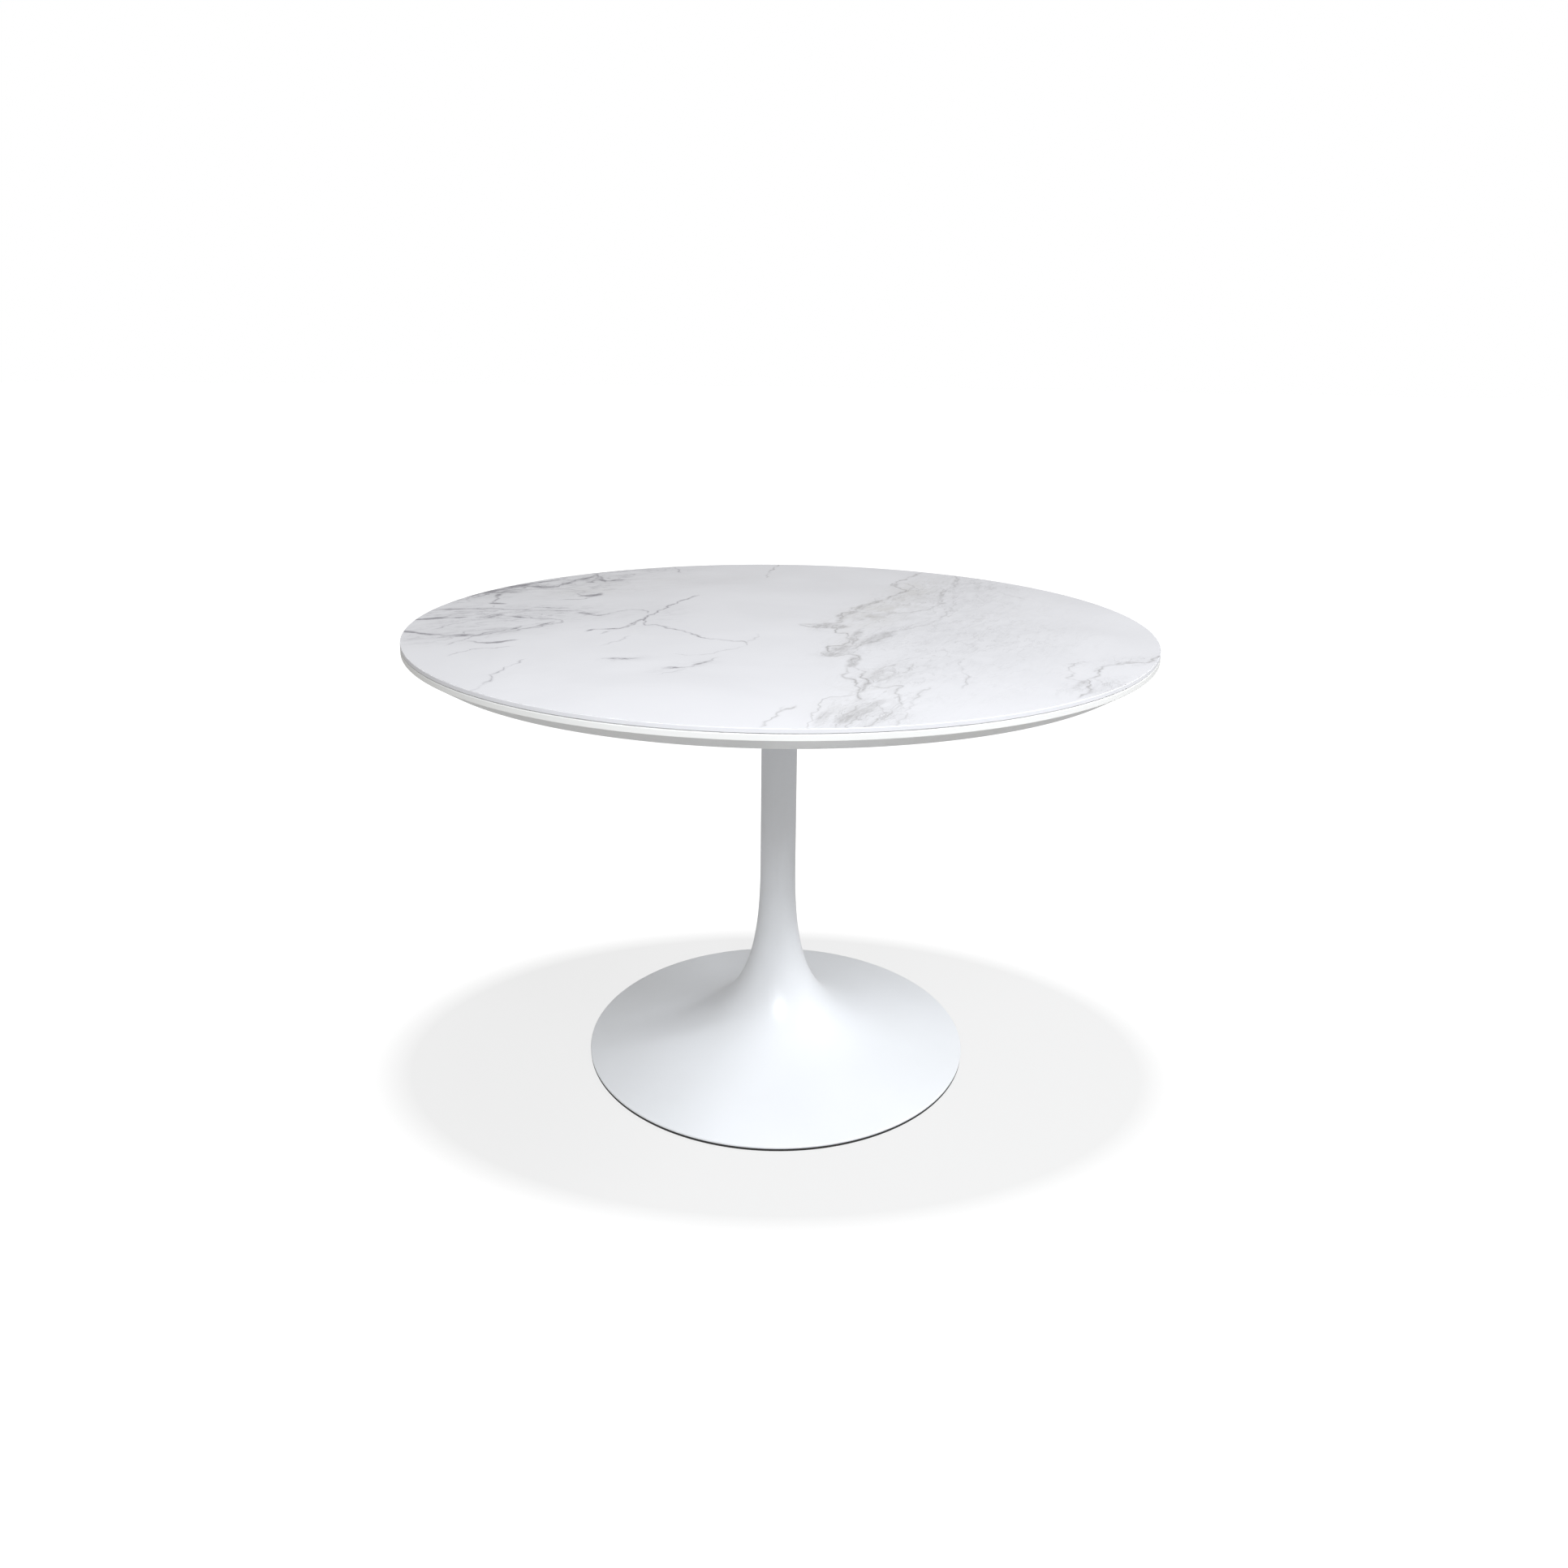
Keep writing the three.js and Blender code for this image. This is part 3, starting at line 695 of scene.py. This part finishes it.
def marble():
    """White stone. The left part's veins are cooler and lie flatter than the right part's."""
    n = Nodes("marble_pattern_stone")
    bend = n.math("MULTIPLY", n.math("SUBTRACT", n.noise(90, 4, 0.6), 0.5), VEIN_BEND)
    swell = n.spread(n.noise(30, 3), 0.3, 0.7, 0.45, 1.5)
    breaks = n.spread(n.noise(22, 4, 0.6), 0.33, 0.55, 0.25, 1)
    cores = []
    for layer in ("a", "b"):
        across = n.math("ADD", n.attribute(f"vein_{layer}_across"), bend)
        width = n.math("MULTIPLY", n.attribute(f"vein_{layer}_width"), swell)
        off = n.math("DIVIDE", n.math("ABSOLUTE", across), width)
        core = n.math("EXPONENT", n.math("MULTIPLY", n.math("POWER", off, 1.4), -1))
        cores.append(n.math("MULTIPLY", core, n.attribute(f"vein_{layer}_dark")))
    veins = n.math("MULTIPLY", n.math("MAXIMUM", *cores), breaks)

    def fine_lines(noise, full, gone):
        """Thin lines where a noise crosses its middle."""
        away = n.math("ABSOLUTE", n.math("SUBTRACT", noise, 0.5))
        return n.spread(away, full, gone, 1, 0)

    def streaks(turn_degrees):
        where = n.grain(turn_degrees, 0.10, 0.026)
        return fine_lines(n.noise(1, 7, 0.68, 0.7, where), 0.0, 0.07)

    def hairlines(turn_degrees, length, width, thick):
        where = n.grain(turn_degrees, length, width)
        return fine_lines(n.noise(1, 6, 0.62, 0.4, where), 0.1 * thick, thick)

    is_right = n.spread(n.axis("X"), LEFT_END, RIGHT_START)
    flow = n.blend(is_right, streaks(33), streaks(66))
    hairs = n.blend(is_right, hairlines(28, 0.10, 0.045, 0.030),
                    hairlines(62, 0.085, 0.032, 0.018))
    fibres = n.blend(is_right, hairlines(30, 0.060, 0.016, 0.09),
                     hairlines(68, 0.060, 0.013, 0.09))
    patches = n.spread(n.noise(14, 6, 0.66, 0.8), 0.40, 0.60)
    cool = n.attribute("cool_cloud")
    warm = n.attribute("warm_cloud")
    veil = n.math("MULTIPLY", cool, n.math("ADD", n.math("MULTIPLY", flow, 0.55),
                                           n.math("MULTIPLY", patches, 0.35)))
    beige = n.math("MULTIPLY", warm, n.math("ADD", n.math("MULTIPLY", flow, 0.4),
                                            n.math("MULTIPLY", patches, 0.6)))
    faint = n.math("MULTIPLY", n.spread(n.noise(3.2, 6, 0.55, 1.2), 0.42, 0.75), 0.10)
    speckle = n.spread(n.noise(900, 2), 0.3, 0.7, -0.012, 0.012)
    base = n.mix(n.math("ADD", faint, speckle), STONE_WHITE, STONE_GREY)
    base = n.mix(n.math("MULTIPLY", beige, 0.9), base, STONE_BEIGE)
    base = n.mix(n.math("MULTIPLY", veil, 0.8), base, STONE_GREY)
    cloudy = n.math("ADD", n.math("MULTIPLY", cool, 0.85), n.math("MULTIPLY", warm, 0.3))
    holes = n.spread(n.noise(26, 4, 0.6), 0.36, 0.56, 0.15, 1)
    thin = n.math("MULTIPLY", n.math("MULTIPLY", hairs, holes), cloudy)
    ragged = n.math("MULTIPLY", n.attribute("smear"),
                    n.spread(n.noise(55, 6, 0.68), 0.3, 0.7, 0.45, 1.5))
    fill = n.math("MULTIPLY", n.spread(ragged, 0.22, 0.62), n.spread(fibres, 0, 1, 0.42, 1))
    smear = n.math("MULTIPLY", fill, n.blend(is_right, 0.82, 0.44))
    dark = n.math("MAXIMUM", n.math("MAXIMUM", veins, thin), smear)
    colour = n.mix(dark, base, n.mix(is_right, STONE_VEIN_LEFT, STONE_VEIN))
    roughness = n.spread(n.noise(7, 3), 0.3, 0.7, 0.30, 0.36)
    normal = n.bump(n.noise(160, 3), 0.012 * MM)
    return n.finish(colour, roughness, normal, IOR=1.5)


def uneven(name, tone, colours, gloss, roughness, relief, depth, **fixed):
    """A material that drifts between two colours, with an uneven gloss and a fine relief.

    `tone`, `gloss` and `relief` are each a noise's scale and detail. `depth` is in mm.
    """
    n = Nodes(name)
    colour = n.mix(n.spread(n.noise(*tone), 0.35, 0.65), *colours)
    shine = n.spread(n.noise(*gloss), 0.3, 0.7, *roughness)
    return n.finish(colour, shine, n.bump(n.noise(*relief), depth * MM), **fixed)


def lacquer():
    return uneven("white_lacquer", tone=(5, 3), colours=((0.84, 0.84, 0.83), (0.80, 0.80, 0.79)),
                  gloss=(40, 3), roughness=(0.30, 0.37), relief=(700, 2), depth=0.003, IOR=1.48)


def powder_coat():
    return uneven("white_powder_coat", tone=(4, 3),
                  colours=((0.80, 0.815, 0.845), (0.77, 0.785, 0.81)),
                  gloss=(60, 3), roughness=(0.29, 0.35), relief=(520, 2), depth=0.004, IOR=1.5)


def zinc():
    return uneven("zinc_plated_steel", tone=(160, 4),
                  colours=((0.62, 0.64, 0.67), (0.50, 0.51, 0.52)),
                  gloss=(300, 4), roughness=(0.30, 0.46), relief=(900, 2), depth=0.01,
                  Metallic=1.0)


def cast_iron():
    return uneven("raw_cast_iron", tone=(60, 5),
                  colours=((0.075, 0.075, 0.08), (0.12, 0.105, 0.09)),
                  gloss=(200, 4), roughness=(0.6, 0.85), relief=(350, 5, 0.7), depth=0.35,
                  Metallic=0.6)


def black_coat():
    return uneven("black_coat", tone=(30, 4),
                  colours=((0.028, 0.029, 0.031), (0.042, 0.042, 0.043)),
                  gloss=(500, 3), roughness=(0.45, 0.65), relief=(800, 2), depth=0.05)


def rubber():
    return uneven("black_rubber", tone=(90, 4),
                  colours=((0.020, 0.020, 0.021), (0.035, 0.034, 0.033)),
                  gloss=(250, 3), roughness=(0.65, 0.85), relief=(1100, 3), depth=0.06)


def plastic():
    return uneven("black_plastic", tone=(40, 3),
                  colours=((0.030, 0.030, 0.031), (0.040, 0.040, 0.041)),
                  gloss=(200, 3), roughness=(0.42, 0.55), relief=(1400, 2), depth=0.03)


def adhesive():
    return uneven("grey_adhesive", tone=(50, 3), colours=((0.30, 0.30, 0.31), (0.24, 0.24, 0.245)),
                  gloss=(120, 3), roughness=(0.5, 0.7), relief=(300, 3), depth=0.1)


MATERIALS = {"sintered_stone": marble(), "adhesive": adhesive(), "white_lacquer": lacquer(),
             "white_powder_coat": powder_coat(), "zinc_steel": zinc(), "cast_iron": cast_iron(),
             "black_coat": black_coat(), "black_plastic": plastic(), "black_rubber": rubber()}


# ---------------- the top

def stone_slab():
    """A disc with a fine even grid on its top, and an eased edge."""
    steps = 216
    arris = 0.9 * MM
    low_arris = 0.5 * MM
    flat = TOP_RADIUS - arris
    verts = []
    index = {}
    for i in range(steps + 1):
        for j in range(steps + 1):
            a, b = 2 * i / steps - 1, 2 * j / steps - 1
            if a == 0 and b == 0:
                r, angle = 0, 0
            elif abs(a) > abs(b):
                r, angle = a, TURN / 8 * b / a
            else:
                r, angle = b, TURN / 4 - TURN / 8 * a / b
            index[i, j] = len(verts)
            verts.append((flat * r * math.cos(angle), flat * r * math.sin(angle), TABLE_HEIGHT))
    faces = [(index[i, j], index[i + 1, j], index[i + 1, j + 1], index[i, j + 1])
             for i in range(steps) for j in range(steps)]
    rim = ([index[i, 0] for i in range(steps)] + [index[steps, j] for j in range(steps)]
           + [index[i, steps] for i in range(steps, 0, -1)]
           + [index[0, j] for j in range(steps, 0, -1)])
    edge = rounded([(flat, TABLE_HEIGHT, 0), (TOP_RADIUS, TABLE_HEIGHT, arris * 0.98),
                    (TOP_RADIUS, slab_low.z, low_arris), (flat, slab_low.z, 0)], 6)
    above = rim
    for r, z in edge[1:]:
        row = list(range(len(verts), len(verts) + len(rim)))
        verts += [(verts[v][0] / flat * r, verts[v][1] / flat * r, z) for v in rim]
        for k in range(len(rim)):
            n = (k + 1) % len(rim)
            faces.append((above[k], row[k], row[n], above[n]))
        above = row
    middle = len(verts)
    verts.append((0, 0, slab_low.z))
    faces += [(above[k], middle, above[(k + 1) % len(rim)]) for k in range(len(rim))]
    slab = new_object("slab", verts, faces)
    face_outwards(slab)
    shade(slab)
    mark_marble(slab.data)
    return slab


def glue_bead():
    """The glue between slab and board, with an edge that is squeezed a little hollow."""
    r = glue_high.x
    thick = glue_high.z - glue_low.z
    hollow = [(r - 0.4 * MM * math.sin(math.pi * k / 6), glue_low.z + thick * k / 6)
              for k in range(7)]
    return lathe("glue", [(0, glue_low.z), *hollow, (0, glue_high.z)], 256)


def backing_board():
    bevel = 31 * MM
    band = 8.5 * MM
    corners = [(0, board_low.z, 0), (TOP_RADIUS - bevel, board_low.z, 2.5 * MM),
               (TOP_RADIUS, board_high.z - band, 1.2 * MM), (TOP_RADIUS, board_high.z, 1.8 * MM),
               (0, board_high.z, 0)]
    board = lathe("board", rounded(corners, 6), 384)
    carve(board, straight_hole(INSERT_RADIUS + SLIP_GAP, board_low.z - MM,
                               insert_high.z + MM, INSERT_PLACES))
    return board


def board_insert():
    """A bush for an M6 screw, with a flange and a coarse wood thread outside."""
    low, high = insert_low.z, insert_high.z
    first, last, pitch, depth = low + 1.6 * MM, high - 0.6 * MM, 2 * MM, 0.9 * MM
    bore = M6_RADIUS + THREAD_GAP
    outside = [(INSERT_RADIUS, low), (INSERT_RADIUS, low + 1.2 * MM),
               (INSERT_RADIUS - depth, low + 1.3 * MM)]
    outside += thread_rows(INSERT_RADIUS, first, last, pitch)
    outside += [(INSERT_RADIUS - 0.8 * MM, high)]
    inside = [(bore + 0.5 * MM, high), (bore, high - 0.5 * MM), (bore, low + 0.5 * MM),
              (bore + 0.5 * MM, low)]
    return lathe("insert", [*outside, *inside], 32, closed=True,
                 shape=thread(INSERT_RADIUS, first, last, pitch, depth))


# ---------------- screws

def screw(name, head, tip, socket):
    """A screw about the Z axis: its head's outline, then an M6 thread up or down to its tip."""
    neck = head[-1][1]
    way = 1 if tip > neck else -1
    low, high = sorted((neck + way * 0.8 * MM, tip - way * 0.8 * MM))
    pitch, depth = 1 * MM, 0.55 * MM
    shank = thread_rows(M6_RADIUS, low, high, pitch)[::way]
    outline = [*head, *shank, (M6_RADIUS - 0.7 * MM, tip), (0, tip)]
    body = lathe(name, outline, 32, shape=thread(M6_RADIUS, low, high, pitch, depth))
    carve(body, [socket])
    return body


def plate_screw():
    """A button-head screw, head down under the mounting plate."""
    face, low = plate_low.z, screw_low.z
    radius = SCREW_HEAD_RADIUS
    first, turn, arch, steps = 0.12, 1.05, 1.4, 10
    dome = [(radius * math.cos(first + turn * k / steps),
             face - (face - low) * math.sin(arch * k / steps) / math.sin(arch))
            for k in range(steps + 1)]
    dome.sort(key=lambda point: point[0])
    head = [(0, low), *dome, (radius, face - 0.35 * MM), (radius, face), (M6_RADIUS, face)]
    socket = hex_socket(SOCKET_FLATS, low - MM, low + 2 * MM)
    return screw("plate_screw_part", head, screw_high.z, socket)


def sunk_screw(name, low, high, head_up):
    """A countersunk screw with a flat head and a hexagon socket."""
    radius, depth = SCREW_HEAD_RADIUS, SUNK_HEAD_DEPTH
    face, tip, way = (high, low, -1) if head_up else (low, high, 1)
    head = [(0, face), (radius - 0.25 * MM, face), (radius, face + way * 0.2 * MM),
            (M6_RADIUS, face + way * depth)]
    socket = sorted((face - way * MM, face + way * 2 * MM))
    return screw(name, head, tip, hex_socket(SOCKET_FLATS, *socket))


def sunk_hole(face, way, through):
    """The outline of a cutter for a countersunk screw's hole."""
    radius = M6_RADIUS + SLIP_GAP
    slope = (SCREW_HEAD_RADIUS - M6_RADIUS) / SUNK_HEAD_DEPTH
    depth = SUNK_HEAD_DEPTH + 0.25 * MM
    return [(0, face - way * MM), (radius + slope * (depth + MM), face - way * MM),
            (radius, face + way * depth), (radius, face + way * through),
            (0, face + way * through)]


# ---------------- under the top

def mounting_plate():
    r = plate_high.x
    corners = [(0, plate_low.z, 0), (r, plate_low.z, 1 * MM), (r, plate_high.z, 0.3 * MM),
               (0, plate_high.z, 0)]
    plate = lathe("plate", rounded(corners), 192)
    thick = plate_high.z - plate_low.z
    carve(plate, straight_hole(M6_RADIUS + SLIP_GAP, plate_low.z - MM, plate_high.z + MM,
                               INSERT_PLACES)
          + hole_cutters(sunk_hole(plate_high.z, -1, thick + MM), HUB_SCREW_PLACES))
    return plate


def column_hub():
    r = hub_high.x
    spigot = COLUMN_RADIUS - WALL - SLIP_GAP
    bore = ROD_RADIUS + THREAD_GAP
    bore_top = tube_high.z + 1 * MM
    corners = [(0, bore_top, 0), (bore, bore_top, 0), (bore, hub_low.z, 0.5 * MM),
               (spigot, hub_low.z, 1 * MM), (spigot, tube_high.z, 0), (r, tube_high.z, 1.5 * MM),
               (r, hub_high.z, 0.3 * MM), (0, hub_high.z, 0)]
    hub = lathe("hub", rounded(corners), 128)
    carve(hub, straight_hole(M6_RADIUS + THREAD_GAP, hub_screw_low.z - 0.5 * MM,
                             hub_high.z + MM, HUB_SCREW_PLACES))
    return hub


# ---------------- column and foot

RIM_HEIGHT = 7 * MM
SKIRT_PULL = 211 * MM
SKIRT_RISE = 37 * MM
NECK_PULL = 277 * MM
FOOT_SEAM = 0.5
RIM_LIP_WIDTH = 12 * MM


def foot_curve(t, depth=0):
    """A place on the foot's outside, or `depth` inside it: 0 is the rim, 1 the column."""
    top = neck_high.z
    knots = [Vector((FOOT_RADIUS, RIM_HEIGHT)),
             Vector((FOOT_RADIUS - SKIRT_PULL, RIM_HEIGHT + SKIRT_RISE)),
             Vector((COLUMN_RADIUS, top - NECK_PULL)), Vector((COLUMN_RADIUS, top))]
    u = 1 - t
    weights = (u**3, 3 * u * u * t, 3 * u * t * t, t**3)
    place = sum((k * w for k, w in zip(knots, weights)), Vector((0, 0)))
    slopes = (u * u, 2 * u * t, t * t)
    run = sum(((b - a) * s for a, b, s in zip(knots, knots[1:], slopes)), Vector((0, 0)))
    run.normalize()
    return (place.x - run.y * depth, place.y + run.x * depth)


def wall_between(start, end, steps):
    outside = [foot_curve(start + (end - start) * k / steps) for k in range(steps + 1)]
    inside = [foot_curve(end + (start - end) * k / steps, WALL) for k in range(steps + 1)]
    return outside, inside


def foot_skirt():
    outside, inside = wall_between(0, FOOT_SEAM, 72)
    lip = FOOT_RADIUS - RIM_LIP_WIDTH
    first = outside[1]
    rim = rounded([(lip, skirt_low.z, 0), (FOOT_RADIUS, skirt_low.z, 1.4 * MM),
                   (FOOT_RADIUS, RIM_HEIGHT, 1.6 * MM), (first[0] - 4 * MM, first[1], 0)], 6)
    outline = [*rim[:-1], *[p for p in outside[1:] if p[0] < rim[-2][0]], *inside[:-1],
               (lip, floor_plate_high.z + SLIP_GAP)]
    return lathe("skirt", outline, 256, closed=True)


def foot_neck():
    outside, inside = wall_between(FOOT_SEAM, 1, 96)
    return lathe("neck", [*outside, *inside], 256, closed=True)


def column_tube():
    return pipe("column", COLUMN_RADIUS - WALL, COLUMN_RADIUS, tube_low.z, tube_high.z,
                (0, 0, 0.4, 0.4), 256)


def joint_sleeve():
    """The tube inside the joint of column and neck, with its ends eased."""
    outer = sleeve_high.x
    return pipe("sleeve", outer - WALL, outer, sleeve_low.z, sleeve_high.z,
                (0.4, 1.2, 1.2, 0.4), 128)


# ---------------- inside the foot

def ballast_weight():
    """An iron casting that fills the space under the foot's slope."""
    bore = ROD_RADIUS + 1 * MM
    low, high, radius = ballast_low.z, ballast_high.z, ballast_high.x
    edge_height = 17.5 * MM
    waist, waist_height = 168 * MM, 32.5 * MM
    crown = 130 * MM
    corners = [(bore, washer_high.z, 0), (RECESS_RADIUS, washer_high.z, 2.5 * MM),
               (RECESS_RADIUS, low, 1 * MM), (radius, low, 1.5 * MM),
               (radius, edge_height, 2 * MM), (waist, waist_height, 14 * MM),
               (crown, high, 6 * MM), (bore, high, 1 * MM)]
    weight = lathe("ballast", rounded(corners), 160, closed=True)
    carve(weight, straight_hole(M6_RADIUS + THREAD_GAP, low - MM, base_screw_high.z + MM,
                                BASE_SCREW_PLACES))
    return weight


def tie_rod():
    """A rod with an M16 thread at both ends."""
    low, high = rod_low.z, rod_high.z
    pitch, depth = 2 * MM, 1.1 * MM
    chamfer = 1.2 * MM
    first, last = low + chamfer, high - chamfer
    lower, upper = low + 42 * MM, high - 36 * MM
    outline = [(0, low), (ROD_RADIUS - chamfer, low)]
    outline += thread_rows(ROD_RADIUS, first, lower, pitch)
    outline += thread_rows(ROD_RADIUS, upper, last, pitch)
    outline += [(ROD_RADIUS - chamfer, high), (0, high)]
    ends = (thread(ROD_RADIUS, first, lower, pitch, depth),
            thread(ROD_RADIUS, upper, last, pitch, depth))
    return lathe("rod", outline, 40, shape=lambda *place: min(end(*place) for end in ends))


def rod_washer():
    return pipe("washer", ROD_RADIUS + 0.5 * MM, washer_high.x, washer_low.z, washer_high.z,
                (0.3, 0.6, 0.3, 0.3), 96)


def rod_nut():
    """A hexagon nut with its corners turned off at both faces."""
    low, high = nut_low.z, nut_high.z
    flats = 24 * MM
    corner = flats / math.sqrt(3)
    bore = ROD_RADIUS + THREAD_GAP
    turned_off = 1.0 * MM
    outline = [(bore, low + MM), (bore + MM, low), (flats / 2 - 0.3 * MM, low),
               (corner, low + turned_off), (corner, high - turned_off),
               (flats / 2 - 0.3 * MM, high), (bore + MM, high), (bore, high - MM)]
    return lathe("nut", outline, 96, closed=True, shape=hexagon(flats, flats / 2))


# ---------------- under the foot

def floor_plate():
    low, high = floor_plate_low.z, floor_plate_high.z
    plate = pipe("bottom_plate", RECESS_RADIUS, floor_plate_high.x, low, high,
                 (0.3, 0.3, 0.6, 0.3), 192, 4)
    carve(plate, hole_cutters(sunk_hole(low, 1, high - low + MM), BASE_SCREW_PLACES))
    return plate


def nut_cover():
    """A snap-in cap with a skirt, and a shallow ring groove in its face."""
    low, high, radius = cover_low.z, cover_high.z, cover_high.x
    skin, skirt, groove = 1.25 * MM, 1.75 * MM, 0.35 * MM
    corners = [(0, low, 0), (radius * 0.62, low, 0), (radius * 0.64, low + groove, 0),
               (radius * 0.68, low + groove, 0), (radius * 0.70, low, 0),
               (radius, low, 0.5 * MM), (radius, high, 0.3 * MM),
               (radius - skirt, high, 0.3 * MM), (radius - skirt, low + skin, 0.3 * MM),
               (0, low + skin, 0)]
    return lathe("cover", rounded(corners), 128)


def floor_ring():
    """The rubber ring the table stands on, with two grooves in its underside."""
    outer = ring_high.x
    width = 20 * MM
    inner = outer - width
    groove = 0.8 * MM
    corners = [(inner, 0, 0.6 * MM)]
    for share in (1 / 3, 2 / 3):
        middle = inner + width * share
        corners += [(middle - 1.5 * groove, 0, 0.2 * MM), (middle - groove, groove, 0.2 * MM),
                    (middle + groove, groove, 0.2 * MM), (middle + 1.5 * groove, 0, 0.2 * MM)]
    corners += [(outer, 0, 0.6 * MM), (outer, ring_high.z, 0.2 * MM),
                (inner, ring_high.z, 0.2 * MM)]
    return lathe("ring", rounded(corners, 4), 320, closed=True)


# ---------------- put it together

for node, slot in SLOTS.items():
    mesh = frame["nodes"][node].data
    mesh.materials.clear()
    mesh.materials.append(MATERIALS[slot])

PIECES = {
    "stone_slab": stone_slab, "adhesive_layer": glue_bead, "backing_board": backing_board,
    "mounting_plate": mounting_plate, "column_hub": column_hub, "column_tube": column_tube,
    "foot_neck": foot_neck, "foot_skirt": foot_skirt, "joint_sleeve": joint_sleeve,
    "ballast_weight": ballast_weight, "tie_rod": tie_rod, "rod_washer": rod_washer,
    "rod_nut": rod_nut, "floor_plate": floor_plate, "nut_cover": nut_cover,
    "floor_ring": floor_ring,
}
for node, make in PIECES.items():
    piece = make()
    if node != "stone_slab":
        shade(piece)
    finish_piece(piece, node)

FASTENERS = [
    (numbered("board_insert", 8), board_insert()),
    (numbered("plate_screw", 8), plate_screw()),
    (numbered("hub_screw", 4),
     sunk_screw("hub_screw_part", hub_screw_low.z, hub_screw_high.z, True)),
    (numbered("base_screw", 6),
     sunk_screw("base_screw_part", base_screw_low.z, base_screw_high.z, False)),
]
for nodes, part in FASTENERS:
    shade(part)
    copies(part, nodes)


# ---------------- camera

def set_camera():
    """A 28 mm lens 2 m in front of the column, a little above the top and tilted down."""
    data = bpy.data.cameras.new("camera")
    data.sensor_width = 36
    data.lens = 28.24
    data.shift_x = 0.0021
    data.shift_y = -0.1033
    data.clip_end = 200
    camera = bpy.data.objects.new("camera", data)
    bpy.context.scene.collection.objects.link(camera)
    tilt = math.radians(90 - 11.87)
    roll = math.radians(0.655)
    camera.matrix_world = (Matrix.Translation((0, -1.982, 1.168))
                           @ Matrix.Rotation(tilt, 4, "X") @ Matrix.Rotation(roll, 4, "Z"))
    bpy.context.scene.camera = camera


# ---------------- floor and light

FLOOR_RADIUS = 60
FLOOR_HEIGHT = -0.2 * MM
# The pale ellipse under the table is a painted shadow: inside it, the glow that the camera sees is
# weaker.
PAINTED_SHADOW_CENTRE = (0.0, -0.045, 0)
PAINTED_SHADOW_REACH = (0.695, 0.475, 1)
PAINTED_SHADOW_GLOW, WHITE_GLOW, BOUNCE_GLOW = 0.765, 1.1, 0.40


def pale_floor():
    """A floor that glows pure white to the camera round a painted shadow: a soft, pale ellipse of
    weaker glow under the table.
    """
    floor = lathe("floor", [(0, FLOOR_HEIGHT), (FLOOR_RADIUS, FLOOR_HEIGHT)], 64)
    n = Nodes("pale_floor")
    stretch = n.add("ShaderNodeMapping", vector_type="TEXTURE")
    n.link(n.place, stretch.inputs["Vector"])
    stretch.inputs["Location"].default_value = PAINTED_SHADOW_CENTRE
    stretch.inputs["Scale"].default_value = PAINTED_SHADOW_REACH
    reach = n.add("ShaderNodeVectorMath", operation="LENGTH")
    n.link(stretch.outputs[0], reach.inputs[0])
    # Painted shadow: weaker glow inside the ellipse, pure white outside it.
    glow_round_painted_shadow = n.spread(reach.outputs["Value"], 0.89, 1.09, PAINTED_SHADOW_GLOW, WHITE_GLOW)
    glow = n.blend(n.is_camera_ray(), BOUNCE_GLOW, glow_round_painted_shadow)
    n.link(glow, n.shader.inputs["Emission Strength"])
    material = n.finish((0.11, 0.11, 0.11, 1), 0.9, Specular_IOR_Level=0.0,
                        Emission_Color=(1, 1, 1, 1))
    floor.data.materials.append(material)


def area_light(name, place, target, size, power, colour=(1, 1, 1)):
    data = bpy.data.lights.new(name, "AREA")
    data.shape = "DISK"
    data.size = size
    data.energy = power
    data.color = colour
    light = bpy.data.objects.new(name, data)
    light.location = place
    aim = Vector(target) - Vector(place)
    light.rotation_euler = aim.to_track_quat("-Z", "Y").to_euler()
    bpy.context.scene.collection.objects.link(light)


DOME_LEVEL, DOME_DIMMER, DOME_RISE = 0.43, 0.36, 0.20
DOME_TINT = (1, 0.975, 0.935)


def studio_world():
    """White behind the object. The dome that lights it is dimmer low down at the back left."""
    world = bpy.data.worlds.new("studio")
    bpy.context.scene.world = world
    n = Tree(world)
    split = n.add("ShaderNodeSeparateXYZ")
    n.link(n.add("ShaderNodeTexCoord").outputs["Generated"], split.inputs[0])
    back_left = n.math("ADD", n.math("MULTIPLY", split.outputs["X"], -0.15),
                       n.math("MULTIPLY", split.outputs["Y"], 0.98))
    dim = n.math("MULTIPLY", n.math("MAXIMUM", back_left, 0), DOME_DIMMER)
    rise = n.math("MULTIPLY", n.math("MAXIMUM", split.outputs["Z"], 0), DOME_RISE)
    level = n.math("ADD", n.math("SUBTRACT", DOME_LEVEL, dim), rise)
    camera = n.is_camera_ray()
    background = n.tree.nodes["Background"]
    n.link(n.mix(camera, DOME_TINT, (1, 1, 1)), background.inputs["Color"])
    n.link(n.math("MAXIMUM", camera, level), background.inputs["Strength"])


set_camera()
pale_floor()
studio_world()
area_light("overhead", (-1.0, -0.3, 7.1), (0, 0, 0), 0.7, 22)
area_light("key", (0.35, -2.45, 2.42), (0, 0, 0.2), 1.1, 64, (0.93, 0.965, 1))
area_light("side", (4.5, 0.4, 4.35), (0, 0, 0.2), 1.1, 178, (0.95, 0.975, 1))
bpy.context.scene.view_settings.view_transform = "Standard"
